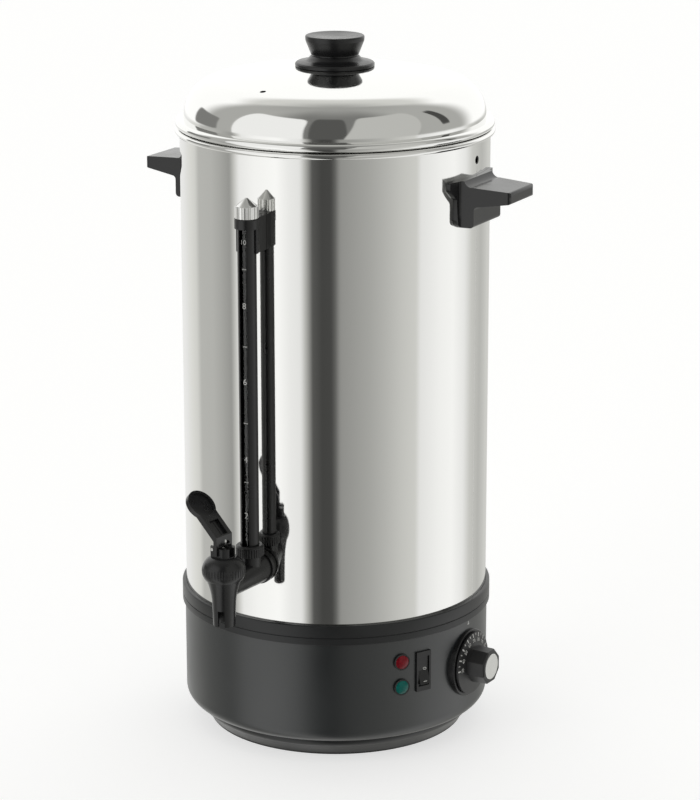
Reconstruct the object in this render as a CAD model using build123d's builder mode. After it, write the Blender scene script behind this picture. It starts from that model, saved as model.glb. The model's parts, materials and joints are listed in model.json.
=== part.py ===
from build123d import *
import os
from math import cos, radians, sin, sqrt, tan

# Ten-litre hot water urn, in millimetres. +Z is up and the origin lies on the
# floor, on the tank's axis. The tap faces -Y, the handles stand on +X and -X,
# and the cord leaves at the back, on +Y. An azimuth of 0 is the tap's side and
# 90 is the right handle's.

# ---- Driving dimensions: overall ----
tank_radius = 113.0
seat_gap = 0.1
slip_gap = 0.2
running_gap = 0.05

# ---- Driving dimensions: base ----
drum_step = 1.0
drum_radius = tank_radius + drum_step
drum_height = 81.4
drum_wall = 1.2
drum_corner = 12.0
drum_flange_width = 20.0
drum_flange_radius = drum_radius - drum_flange_width
seam_inset = 9.6
seam_radius = drum_radius - seam_inset
foot_inset = 18.0
foot_radius = drum_radius - foot_inset
foot_height = 14.6
foot_wall = 3.0
foot_ledge_width = 8.0
foot_ledge_radius = foot_radius - foot_ledge_width
foot_top_inset = 4.2
rim_ring_thickness = 1.9
rim_ring_web = 2.0
rim_ring_web_width = 4.0
rim_ring_web_radius = tank_radius - rim_ring_web_width
rim_ring_skirt = 4.0
rim_ring_collar = 8.6
rim_groove_height = 1.2
rim_groove_depth = 0.8
bottom_plate_thickness = 1.2
tie_rod_radius = 2.5
tie_rod_inset = 4.0
tie_rod_circle = foot_ledge_radius - tie_rod_inset
tie_rod_count = 3
tie_nut_flats = 8.0
tie_nut_height = 4.0
vent_count = 12
vent_length = 22.0
vent_width = 4.0
vent_circle = 52.0
vent_start_angle = 15.0

# ---- Driving dimensions: tank ----
tank_wall = 0.8
tank_height = 351.2
tank_bead_radius = 2.1
tank_bead_sweep = 290.0
heater_space = 36.0
floor_thickness = 1.0
floor_flange = 12.0
overflow_radius = 3.0
overflow_below_rim = 14.2
overflow_azimuth = 91.8
heater_plate_inset = 8.0
heater_plate_radius = tie_rod_circle - heater_plate_inset
heater_plate_thickness = 3.9
element_inset = 18.0
element_circle = heater_plate_radius - element_inset
element_radius = 3.25
element_sweep = 320.0
element_leg = 15.0
element_pin_radius = 1.6
element_pin_length = 9.0
cutout_radius = 8.0
cutout_flange_radius = 12.0
cutout_height = 9.0
cutout_flange_height = 1.5

# ---- Driving dimensions: lid ----
lid_inset = 3.2
lid_radius = tank_radius - lid_inset
lid_wall = 0.6
lid_crown_radius = 430.0
lid_shoulder_radius = 27.0
lid_bead_radius = 3.1
lid_side_height = 2.2
lid_dome_rise = lid_crown_radius - sqrt(
    (lid_crown_radius - lid_shoulder_radius) ** 2 - (lid_radius - lid_shoulder_radius) ** 2
)
lid_crown_height = 2 * lid_bead_radius + lid_side_height + lid_dome_rise
lid_skirt_depth = 6.0
lid_skirt_clearance = 0.8
lid_seat_gap = 0.3
lid_lift = 150.0
steam_hole_radius = 2.2
steam_hole_inset = 24.8
steam_hole_circle = lid_radius - steam_hole_inset
steam_hole_azimuth = -8.0
knob_radius = 21.6
knob_neck_radius = 17.4
knob_flange_radius = 28.8
knob_height = 21.5
knob_groove_rise = 7.8
knob_dish = 1.2
knob_rim_round = 2.0
knob_groove = 1.0
knob_flange_edge = 3.0
knob_screw_radius = 2.5
knob_screw_length = 12.0
knob_screw_head = 3.2
knob_screw_end_room = 1.0
cross_slot_width = 1.0
cross_slot_depth = 2.4
knob_washer_radius = 7.0
knob_washer_thickness = 1.2

# ---- Driving dimensions: handles ----
handle_below_rim = 28.7
handle_reach = 37.6
handle_slope = 0.055
handle_tip_half_width = 19.5
handle_root_half_width = 23.0
handle_tip_thickness = 8.4
handle_ledge_drop = 14.6
handle_leg_thickness = 10.1
handle_leg_height = 29.7
handle_wing_half_width = 34.5
handle_wing_height = 6.0
handle_plate_half_width = 27.5
handle_plate_thickness = 2.8
handle_plate_rise = 3.8
handle_shoulder_drop = 9.5
handle_blend = 6.5
handle_corner_radius = 6.0
handle_tip_round = 2.2
handle_plan_round = 3.0
handle_leg_round = 2.8
handle_plate_round = 1.4
handle_screw_drops = (8.0, 24.0)
handle_screw_radius = 2.0
handle_screw_length = 9.0
screw_head_thickness = 2.4
screw_head_ratio = 1.9
seal_thickness = 1.2
seal_ratio = 2.2

# ---- Driving dimensions: tap ----
tap_above_floor = 14.0
spout_reach = 53.0
spout_top_radius = 12.5
spout_waist_radius = 9.4
spout_waist_drop = 10.2
spout_neck_radius = 8.4
spout_neck_drop = 19.4
spout_end_radius = 7.9
spout_drop = 28.5
spout_shoulder_rise = 5.6
spout_bore_radius = 5.0
spout_notch_width = 5.0
spout_notch_azimuth = 14.0
spout_notch_height = 12.0
chamber_radius = 7.6
chamber_top = 12.5
chamber_floor_drop = 6.0
chamber_neck_radius = 11.4
barrel_radius = 11.6
barrel_end_radius = 7.8
barrel_end_drop = 2.4
barrel_bore_radius = 3.6
barrel_end_reach = 39.0
shank_radius = 7.9
shank_length = 14.0
tap_flange_radius = 12.4
tap_flange_thickness = 3.0
tap_seal_radius = 11.4
tap_seal_thickness = 2.0
tap_nut_flats = 22.0
tap_nut_thickness = 6.0
tap_nut_gap = 1.0
bonnet_radius = 15.5
bonnet_lip_radius = 13.4
bonnet_ball_height = 11.3
bonnet_top = 22.4
bonnet_neck_radius = 9.0
bonnet_flute_count = 40
bonnet_flute_radius = 0.7
bonnet_flute_height = 11.0
bonnet_wall = 2.0
yoke_radius = 8.7
yoke_width = 13.6
yoke_offset = 0.7
yoke_floor_rise = 0.7
yoke_height = 7.0
yoke_slot_width = 5.2
pivot_offset = 5.0
pivot_above_yoke_floor = 4.9
lever_pin_radius = 1.1
lever_azimuth = -100.0
lever_hub_radius = 2.4
lever_neck_half_depth = 2.2
lever_neck_rise = 12.2
lever_fork_length = 5.5
lever_fork_thickness = 1.6
lever_fork_gap = 2.8
lever_fork_below_pin = 1.2
lever_arm_width = 16.8
lever_arm_thickness = 4.2
lever_arm_angle = 44.0
lever_arm_length = 30.0
lever_arm_inset = 5.85
lever_arm_rise = 6.85
lever_foot_depth = 2.9
lever_cheek_gap = 0.9
lever_sill_gap = 0.6
lever_sill_height = 0.9
lever_window_width = 11.6
lever_window_height = 3.6
lever_line_width = 1.7
lever_line_length = 10.6
lever_line_depth = 0.3
lever_channel_centre = 9.4
lever_channel_width = 9.4
lever_channel_depth = 2.2
lever_channel_length = 12.6
lever_paddle_radius = 11.4
lever_paddle_thickness = 3.6
lever_dish_radius = 9.2
lever_dish_depth = 1.2
stem_radius = 2.5
stem_guide_drop = 2.2
stem_neck_radius = 1.2
stem_head_radius = 2.1
stem_head_height = 1.2
stem_flange_radius = 5.6
stem_flange_height = 1.6
stem_stud_length = 2.0
seat_cup_radius = 6.4
seat_cup_height = 4.4
spring_radius = 4.0
spring_wire_radius = 0.45
spring_turns = 5

# ---- Driving dimensions: level gauge ----
gauge_reach = 16.0
gauge_boss_radius = 8.2
gauge_boss_height = 18.0
gauge_bore_radius = 3.4
gauge_socket_depth = 5.5
gauge_nut_radius = 10.2
gauge_nut_height = 8.2
gauge_nut_overhang = 2.7
gauge_nut_flute_count = 32
gauge_nut_flute_radius = 0.7
gauge_nut_bevel = 0.6
gauge_nut_shoulder = 1.2
gauge_nut_plain_band = 1.6
gauge_seal_thickness = 1.2
gauge_tube_radius = 4.5
gauge_tube_wall = 1.2
gauge_shield_radius = 6.7
gauge_shield_wall = 1.4
gauge_shield_drop = 2.0
gauge_window_width = 6.0
gauge_top_below_rim = 42.7
gauge_collar_radius = 8.6
gauge_collar_height = 25.0
gauge_collar_front = 7.2
gauge_arm_width = 13.0
gauge_cap_radius = 8.3
gauge_cap_skirt = 8.3
gauge_cap_point = 5.8
gauge_cap_sides = 8
gauge_cap_tip_radius = 0.8
gauge_cap_flute_count = 18
gauge_cap_flute_radius = 0.9
bracket_screw_radius = 2.0
bracket_screw_length = 8.0

# ---- Driving dimensions: controls ----
dial_azimuth = 87.5
dial_height = 58.3
dial_bezel_radius = 25.3
dial_bezel_inner_radius = 19.5
dial_bezel_proud = 2.2
dial_skirt_radius = 23.2
dial_skirt_gap = 0.8
dial_skirt_edge = 1.5
dial_skirt_rise = 1.8
dial_grip_radius = 13.8
dial_grip_length = 13.8
dial_grip_sides = 8
dial_cap_radius = 9.6
dial_cap_thickness = 0.8
dial_grip_bevel = 1.0
dial_grip_taper = 2.0
shaft_radius = 3.0
shaft_bush_radius = 5.0
thermostat_width = 34.0
thermostat_height = 30.0
thermostat_depth = 22.0
thermostat_corner = 3.0
thermostat_gap = 1.6
switch_azimuth = 62.1
switch_height = 65.2
switch_width = 12.6
switch_length = 30.4
switch_body_width = 11.0
switch_body_length = 27.6
switch_body_depth = 18.0
switch_frame_proud = 1.6
rocker_width = 8.6
rocker_length = 21.0
rocker_tilt = 8.0
rocker_depth = 5.0
rocker_end_rise = 0.4
rocker_valley = 1.2
rocker_end_lean = 1.2
rocker_keel = 3.2
rocker_end_gap = 0.8
rocker_side_gap = 0.4
rocker_pin_radius = 1.0
rocker_pin_length = 0.4
rocker_pin_end_gap = 0.1
switch_tab_count = 3
lamp_azimuth = 53.0
red_lamp_height = 75.2
green_lamp_height = 55.8
lamp_bezel_radius = 6.2
lamp_bezel_proud = 1.6
lamp_lens_radius = 5.1
lamp_lens_dome = 1.8
lamp_body_radius = 4.6
lamp_body_depth = 17.0
lamp_tail_radius = 1.0
lamp_tail_length = 3.0
spade_width = 4.8
spade_thickness = 0.8
spade_length = 7.0
gland_height = 34.0
gland_radius = 8.0
gland_flange_radius = 11.0
gland_flange_thickness = 3.2
gland_nose_length = 9.0
gland_nose_radius = 7.4
gland_nose_taper = 4.0
gland_bore_radius = 3.9
gland_body_depth = 10.0
gland_nut_flats = 20.0
gland_nut_thickness = 4.0
terminal_width = 32.0
terminal_depth = 20.0
terminal_height = 16.0
terminal_reach = 52.0
terminal_poles = 3
terminal_bore_radius = 2.2
terminal_well_radius = 1.8
earth_screw_radius = 2.0
earth_screw_length = 9.6
earth_washer_radius = 4.4
earth_washer_thickness = 1.0
earth_nut_radius = 4.0
earth_nut_height = 3.0
earth_screw_offset = 32.0
bulb_radius = 3.0
bulb_length = 62.0
bulb_inset = 24.0
bulb_offset = element_circle - bulb_inset
capillary_radius = 0.8
capillary_bend = 24.0

os.makedirs("parts", exist_ok=True)

# ---- Heights and radii that follow ----
drum_top = foot_height + drum_height
tank_base = drum_top + rim_ring_web
ring_radius = drum_radius + slip_gap / 2 + rim_ring_thickness
ring_top = tank_base + rim_ring_collar
bead_height = tank_base + tank_height
bead_centre_radius = tank_radius - tank_wall + tank_bead_radius
tank_inner_radius = tank_radius - tank_wall
head_seat_radius = tank_inner_radius - running_gap - seal_thickness
floor_top = tank_base + heater_space
floor_underside = floor_top - floor_thickness
heater_underside = floor_underside - seat_gap - heater_plate_thickness
tap_height = floor_top + tap_above_floor
lid_seat = bead_height + tank_bead_radius + lid_seat_gap
lid_top = lid_seat + lid_crown_height
plate_top = foot_height - foot_wall
plate_bottom = plate_top - bottom_plate_thickness


def outward(azimuth):
    """Level unit vector that points away from the axis at an azimuth."""
    return Vector(sin(radians(azimuth)), -cos(radians(azimuth)), 0)


def wall_plane(azimuth, radius, height):
    """Plane facing away from the axis: x runs round the wall and y runs up."""
    out = outward(azimuth)
    return Plane(
        origin=out * radius + Vector(0, 0, height),
        x_dir=(-out.Y, out.X, 0),
        z_dir=(out.X, out.Y, 0),
    )


def side_plane(azimuth, height=0.0):
    """Upright plane through the axis: x runs outwards and y runs up."""
    out = outward(azimuth)
    return Plane(origin=(0, 0, height), x_dir=(out.X, out.Y, 0), z_dir=(out.Y, -out.X, 0))


FRONT = (Align.CENTER, Align.CENTER, Align.MIN)
BEHIND = (Align.CENTER, Align.CENTER, Align.MAX)

# ---- Foot ring: moulded ring that the urn stands on ----
foot_round = foot_wall / 3
foot_lean = seam_radius - foot_radius
foot_bulge = foot_lean / 5
foot_inner_top = seam_radius - foot_top_inset
with BuildPart() as foot_ring:
    with BuildSketch(Plane.XZ):
        with BuildLine():
            Line((foot_radius - foot_wall, 0), (foot_radius - foot_round, 0))
            Line((foot_radius - foot_round, 0), (foot_radius, foot_round))
            ThreePointArc(
                (foot_radius, foot_round),
                (foot_radius + foot_lean / 2 + foot_bulge, foot_height / 2),
                (seam_radius, foot_height),
            )
            Line((seam_radius, foot_height), (foot_ledge_radius, foot_height))
            Line((foot_ledge_radius, foot_height), (foot_ledge_radius, plate_top))
            Line((foot_ledge_radius, plate_top), (foot_inner_top, plate_top))
            Line((foot_inner_top, plate_top), (foot_radius - foot_wall, foot_round))
            Line((foot_radius - foot_wall, foot_round), (foot_radius - foot_wall, 0))
        make_face()
    revolve(axis=Axis.Z)

# ---- Base drum: painted sheet with a turned-in lower edge ----
corner_centre_radius = drum_radius - drum_corner
corner_centre_height = foot_height + drum_corner
inner_corner = drum_corner - drum_wall
half_turn = sqrt(0.5)
with BuildPart() as base_drum:
    with BuildSketch(Plane.XZ):
        with BuildLine():
            Line((drum_flange_radius, foot_height), (corner_centre_radius, foot_height))
            ThreePointArc(
                (corner_centre_radius, foot_height),
                (
                    corner_centre_radius + drum_corner * half_turn,
                    corner_centre_height - drum_corner * half_turn,
                ),
                (drum_radius, corner_centre_height),
            )
            Line((drum_radius, corner_centre_height), (drum_radius, drum_top))
            Line((drum_radius, drum_top), (drum_radius - drum_wall, drum_top))
            Line((drum_radius - drum_wall, drum_top), (drum_radius - drum_wall, corner_centre_height))
            ThreePointArc(
                (drum_radius - drum_wall, corner_centre_height),
                (
                    corner_centre_radius + inner_corner * half_turn,
                    corner_centre_height - inner_corner * half_turn,
                ),
                (corner_centre_radius, foot_height + drum_wall),
            )
            Line((corner_centre_radius, foot_height + drum_wall), (drum_flange_radius, foot_height + drum_wall))
            Line((drum_flange_radius, foot_height + drum_wall), (drum_flange_radius, foot_height))
        make_face()
    revolve(axis=Axis.Z)
    # Openings for the dial's bush, the switch, the two lamps and the cord gland.
    with BuildSketch(wall_plane(dial_azimuth, drum_radius, dial_height)):
        Circle(shaft_bush_radius + slip_gap)
    extrude(amount=drum_corner, both=True, mode=Mode.SUBTRACT)
    with BuildSketch(wall_plane(switch_azimuth, drum_radius, switch_height)):
        Rectangle(switch_body_width + 2 * slip_gap, switch_body_length + 2 * slip_gap)
    extrude(amount=drum_corner, both=True, mode=Mode.SUBTRACT)
    for lamp_height in (red_lamp_height, green_lamp_height):
        with BuildSketch(wall_plane(lamp_azimuth, drum_radius, lamp_height)):
            Circle(lamp_body_radius + slip_gap)
        extrude(amount=drum_corner, both=True, mode=Mode.SUBTRACT)
    with BuildSketch(wall_plane(180, drum_radius, gland_height)):
        Circle(gland_radius + slip_gap)
    extrude(amount=drum_corner, both=True, mode=Mode.SUBTRACT)

# ---- Base rim: moulded ring that joins the drum and the tank ----
groove_low = (drum_top + tank_base) / 2
groove_high = groove_low + rim_groove_height
ring_edge_round = rim_ring_thickness / 2
with BuildPart() as base_rim:
    with BuildSketch(Plane.XZ):
        with BuildLine():
            Polyline(
                (drum_radius + slip_gap / 2, drum_top - rim_ring_skirt),
                (ring_radius, drum_top - rim_ring_skirt),
                (ring_radius, groove_low),
                (ring_radius - rim_groove_depth, groove_low),
                (ring_radius - rim_groove_depth, groove_high),
                (ring_radius, groove_high),
                (ring_radius, ring_top - ring_edge_round),
                (ring_radius - ring_edge_round, ring_top),
                (tank_radius + slip_gap / 2, ring_top),
                (tank_radius + slip_gap / 2, tank_base),
                (rim_ring_web_radius, tank_base),
                (rim_ring_web_radius, drum_top),
                (drum_radius + slip_gap / 2, drum_top),
                close=True,
            )
        make_face()
    revolve(axis=Axis.Z)

# ---- Bottom plate: vented sheet under the base, clamped by the tie rods ----
plate_radius = foot_radius - foot_wall - slip_gap
with BuildPart() as bottom_plate:
    with BuildSketch(Plane.XY.offset(plate_bottom)):
        Circle(plate_radius)
        with PolarLocations(tie_rod_circle, tie_rod_count, start_angle=90):
            Circle(tie_rod_radius + slip_gap, mode=Mode.SUBTRACT)
        with PolarLocations(vent_circle, vent_count, start_angle=vent_start_angle):
            SlotOverall(vent_length, vent_width, mode=Mode.SUBTRACT)
    extrude(amount=bottom_plate_thickness)

# ---- Tie rods and nuts: they clamp foot, drum and rim under the tank floor ----
tie_nut_radius = tie_nut_flats / sqrt(3)
tie_rod_end = plate_bottom - tie_nut_height
with BuildPart() as tie_rods:
    with BuildSketch(Plane.XY.offset(tie_rod_end)):
        with PolarLocations(tie_rod_circle, tie_rod_count, start_angle=90):
            Circle(tie_rod_radius)
    extrude(amount=floor_underside - tie_rod_end)

with BuildPart() as tie_nuts:
    with BuildSketch(Plane.XY.offset(tie_rod_end)):
        with PolarLocations(tie_rod_circle, tie_rod_count, start_angle=90):
            RegularPolygon(tie_nut_radius, 6)
            Circle(tie_rod_radius + running_gap, mode=Mode.SUBTRACT)
    extrude(amount=tie_nut_height)

# ---- Tank shell: rolled and welded sheet with a bead round its mouth ----
bead_inside = tank_bead_radius - tank_wall
bead_end = radians(180 - tank_bead_sweep)
with BuildPart() as tank_shell:
    with BuildSketch(Plane.XZ):
        with BuildLine():
            Line((tank_inner_radius, tank_base), (tank_inner_radius, bead_height))
            CenterArc((bead_centre_radius, bead_height), tank_bead_radius, 180, -tank_bead_sweep)
            Line(
                (
                    bead_centre_radius + tank_bead_radius * cos(bead_end),
                    bead_height + tank_bead_radius * sin(bead_end),
                ),
                (
                    bead_centre_radius + bead_inside * cos(bead_end),
                    bead_height + bead_inside * sin(bead_end),
                ),
            )
            CenterArc((bead_centre_radius, bead_height), bead_inside, 180, -tank_bead_sweep)
            Line((tank_radius, bead_height), (tank_radius, tank_base))
            Line((tank_radius, tank_base), (tank_inner_radius, tank_base))
        make_face()
    revolve(axis=Axis.Z)
    # Holes for the tap, the gauge bracket, the handles and the overflow.
    handle_top = bead_height - handle_below_rim
    gauge_top = bead_height - gauge_top_below_rim
    bracket_screw_height = gauge_top - gauge_collar_height / 2
    handle_screw_heights = [handle_top - drop for drop in handle_screw_drops]
    with BuildSketch(wall_plane(0, tank_radius, tap_height)):
        Circle(shank_radius + slip_gap)
    extrude(amount=tank_bead_radius * 2, both=True, mode=Mode.SUBTRACT)
    with BuildSketch(wall_plane(0, tank_radius, bracket_screw_height)):
        Circle(bracket_screw_radius + slip_gap)
    extrude(amount=tank_bead_radius * 2, both=True, mode=Mode.SUBTRACT)
    with BuildSketch(wall_plane(overflow_azimuth, tank_radius, bead_height - overflow_below_rim)):
        Circle(overflow_radius)
    extrude(amount=tank_bead_radius * 2, both=True, mode=Mode.SUBTRACT)
    for handle_azimuth in (90, -90):
        for screw_height in handle_screw_heights:
            with BuildSketch(wall_plane(handle_azimuth, tank_radius, screw_height)):
                Circle(handle_screw_radius + slip_gap)
            extrude(amount=tank_bead_radius * 2, both=True, mode=Mode.SUBTRACT)

# ---- Tank floor: pressed disc with a turned-down edge, welded into the shell ----
floor_radius = tank_inner_radius - running_gap
with BuildPart() as tank_floor:
    with BuildSketch(Plane.XZ):
        with BuildLine():
            Polyline(
                (0, floor_top),
                (floor_radius, floor_top),
                (floor_radius, floor_top - floor_flange),
                (floor_radius - floor_thickness, floor_top - floor_flange),
                (floor_radius - floor_thickness, floor_underside),
                (0, floor_underside),
                close=True,
            )
        make_face()
    revolve(axis=Axis.Z)

# ---- Heater plate, ring element and boil-dry cut-out under the floor ----
with BuildPart() as heater_plate:
    with BuildSketch(Plane.XY.offset(heater_underside)):
        Circle(heater_plate_radius)
    extrude(amount=heater_plate_thickness)

element_height = heater_underside - running_gap - element_radius
element_start = 90 + (360 - element_sweep) / 2
element_ends = [
    (element_circle * cos(radians(angle)), element_circle * sin(radians(angle)))
    for angle in (element_start, element_start + element_sweep)
]
element_pins_end = element_height - element_leg - element_pin_length
with BuildPart() as heating_element:
    with BuildLine(Plane.XY.offset(element_height)) as element_path:
        CenterArc((0, 0), element_circle, element_start, element_sweep)
    with BuildSketch(Plane(element_path.line @ 0, z_dir=element_path.line % 0)):
        Circle(element_radius)
    sweep(path=element_path.line)
    for end_x, end_y in element_ends:
        with Locations((end_x, end_y, element_height)):
            Sphere(element_radius)
            Cylinder(element_radius, element_leg, align=BEHIND)
        with Locations((end_x, end_y, element_height - element_leg)):
            Cylinder(element_pin_radius, element_pin_length, align=BEHIND)

cutout_top = heater_underside - running_gap
cutout_bottom = cutout_top - cutout_height
with BuildPart() as boil_dry_cutout:
    with BuildSketch(Plane.XY.offset(cutout_top)):
        Circle(cutout_flange_radius)
    extrude(amount=-cutout_flange_height)
    with BuildSketch(Plane.XY.offset(cutout_top - cutout_flange_height)):
        Circle(cutout_radius)
    extrude(amount=cutout_flange_height - cutout_height)
    with BuildSketch(Plane.XY.offset(cutout_bottom)):
        with GridLocations(cutout_radius, 0, 2, 1):
            Rectangle(spade_thickness, spade_width)
    extrude(amount=-spade_length)

# ---- Lid: spun shell with a domed crown, a rolled edge and a locating skirt ----
crown_centre = lid_top - lid_crown_radius
shoulder_centre_radius = lid_radius - lid_shoulder_radius
shoulder_centre = crown_centre + sqrt(
    (lid_crown_radius - lid_shoulder_radius) ** 2 - shoulder_centre_radius**2
)
crown_lean = shoulder_centre_radius / (lid_crown_radius - lid_shoulder_radius)
crown_edge_radius = lid_crown_radius * crown_lean
crown_edge_height = crown_centre + lid_crown_radius * sqrt(1 - crown_lean**2)
shoulder_turn = radians(45)
lid_bead_height = lid_seat + lid_bead_radius
lid_skirt_radius = tank_inner_radius - lid_skirt_clearance
lid_bead_centre = lid_radius + lid_bead_radius
half_sheet = lid_wall / 2


def crown_height(radius, inset=0.0):
    """Height of the lid's crown at a radius, moved down by an inset."""
    return crown_centre + sqrt((lid_crown_radius - inset) ** 2 - radius**2)


def lid_outline(inset):
    """Half of the dome's outline from its apex to the wall, moved in by an inset."""
    crown = lid_crown_radius - inset
    shoulder = lid_shoulder_radius - inset
    edge = (crown * crown_lean, crown_centre + crown * sqrt(1 - crown_lean**2))
    middle = (crown * crown_lean / 2, crown_centre + crown * sqrt(1 - crown_lean**2 / 4))
    ThreePointArc((0, lid_top - inset), middle, edge)
    ThreePointArc(
        edge,
        (
            shoulder_centre_radius + shoulder * cos(shoulder_turn),
            shoulder_centre + shoulder * sin(shoulder_turn),
        ),
        (shoulder_centre_radius + shoulder, shoulder_centre),
    )


lid_inner_bead = lid_bead_radius - lid_wall
with BuildPart() as lid_shell:
    with BuildSketch(Plane.XZ):
        with BuildLine():
            lid_outline(0)
            Line((lid_radius, shoulder_centre), (lid_radius, lid_bead_height + lid_bead_radius))
            Line(
                (lid_radius, lid_bead_height + lid_bead_radius),
                (lid_bead_centre, lid_bead_height + lid_bead_radius),
            )
            CenterArc((lid_bead_centre, lid_bead_height), lid_bead_radius, 90, -180)
            Line((lid_bead_centre, lid_seat), (lid_skirt_radius, lid_seat))
            Line((lid_skirt_radius, lid_seat), (lid_skirt_radius, lid_seat - lid_skirt_depth))
            Line(
                (lid_skirt_radius, lid_seat - lid_skirt_depth),
                (lid_skirt_radius - lid_wall, lid_seat - lid_skirt_depth),
            )
            Line(
                (lid_skirt_radius - lid_wall, lid_seat - lid_skirt_depth),
                (lid_skirt_radius - lid_wall, lid_seat + lid_wall),
            )
            Line(
                (lid_skirt_radius - lid_wall, lid_seat + lid_wall),
                (lid_bead_centre, lid_seat + lid_wall),
            )
            CenterArc((lid_bead_centre, lid_bead_height), lid_inner_bead, -90, 180)
            Line(
                (lid_bead_centre, lid_bead_height + lid_inner_bead),
                (lid_radius - lid_wall, lid_bead_height + lid_inner_bead),
            )
            Line(
                (lid_radius - lid_wall, lid_bead_height + lid_inner_bead),
                (lid_radius - lid_wall, shoulder_centre),
            )
            lid_outline(lid_wall)
            Line((0, lid_top - lid_wall), (0, lid_top))
        make_face()
    revolve(axis=Axis.Z)
    with Locations((0, 0, lid_top)):
        Cylinder(knob_screw_radius + slip_gap, lid_shoulder_radius, mode=Mode.SUBTRACT)
    steam_out = outward(steam_hole_azimuth) * steam_hole_circle
    with Locations((steam_out.X, steam_out.Y, lid_top - lid_shoulder_radius / 2)):
        Cylinder(steam_hole_radius, lid_shoulder_radius, mode=Mode.SUBTRACT)

# ---- Lid knob: moulded knob with a dished top, a waist groove and a flange ----
knob_top = lid_top + knob_height
knob_rim_fall = (1 - half_turn) * knob_rim_round
knob_groove_height = lid_top + knob_groove_rise
knob_foot = crown_height(knob_flange_radius) + seat_gap
knob_screw_bore = knob_screw_length - knob_washer_thickness - lid_wall + knob_screw_end_room
with BuildPart() as lid_knob:
    with BuildSketch(Plane.XZ):
        with BuildLine():
            ThreePointArc(
                (0, knob_top - knob_dish),
                (knob_radius / 2, knob_top - knob_dish * 3 / 4),
                (knob_radius - knob_rim_round, knob_top),
            )
            ThreePointArc(
                (knob_radius - knob_rim_round, knob_top),
                (knob_radius - knob_rim_fall, knob_top - knob_rim_fall),
                (knob_radius, knob_top - knob_rim_round),
            )
            Line(
                (knob_radius, knob_top - knob_rim_round),
                (knob_neck_radius, knob_groove_height),
            )
            Polyline(
                (knob_neck_radius, knob_groove_height),
                (knob_neck_radius - knob_groove, knob_groove_height),
                (knob_neck_radius - knob_groove, knob_groove_height - knob_groove),
                (knob_neck_radius, knob_groove_height - knob_groove),
            )
            ThreePointArc(
                (knob_neck_radius, knob_groove_height - knob_groove),
                (
                    knob_neck_radius + (knob_flange_radius - knob_neck_radius) / 4,
                    knob_foot + knob_flange_edge + (knob_groove_height - knob_foot - knob_flange_edge) / 4,
                ),
                (knob_flange_radius - knob_groove, knob_foot + knob_flange_edge),
            )
            Line(
                (knob_flange_radius - knob_groove, knob_foot + knob_flange_edge),
                (knob_flange_radius, knob_foot + knob_flange_edge - knob_groove),
            )
            Line((knob_flange_radius, knob_foot + knob_flange_edge - knob_groove), (knob_flange_radius, knob_foot))
            ThreePointArc(
                (knob_flange_radius, knob_foot),
                (knob_flange_radius / 2, crown_height(knob_flange_radius / 2) + seat_gap),
                (0, lid_top + seat_gap),
            )
            Line((0, lid_top + seat_gap), (0, knob_top - knob_dish))
        make_face()
    revolve(axis=Axis.Z)
    with Locations((0, 0, lid_top)):
        Cylinder(knob_screw_radius + running_gap, knob_screw_bore, align=FRONT, mode=Mode.SUBTRACT)

# ---- Knob screw and washer, put in from under the lid ----
knob_screw_head_radius = 2 * knob_screw_radius
lid_underside = lid_top - lid_wall - seat_gap
washer_bottom = lid_underside - knob_washer_thickness
with BuildPart() as knob_washer:
    with BuildSketch(Plane.XY.offset(washer_bottom)):
        Circle(knob_washer_radius)
        Circle(knob_screw_radius + slip_gap, mode=Mode.SUBTRACT)
    extrude(amount=knob_washer_thickness)

with BuildPart() as knob_screw:
    with Locations((0, 0, washer_bottom)):
        Cylinder(knob_screw_radius, knob_screw_length, align=FRONT)
        Cylinder(knob_screw_head_radius, knob_screw_head, align=BEHIND)
    fillet(knob_screw.edges().filter_by(GeomType.CIRCLE).sort_by(Axis.Z)[0], knob_screw_head / 3)
    with Locations((0, 0, washer_bottom - knob_screw_head)):
        Box(knob_screw_head_radius, cross_slot_width, cross_slot_depth, mode=Mode.SUBTRACT)
        Box(cross_slot_width, knob_screw_head_radius, cross_slot_depth, mode=Mode.SUBTRACT)

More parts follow.
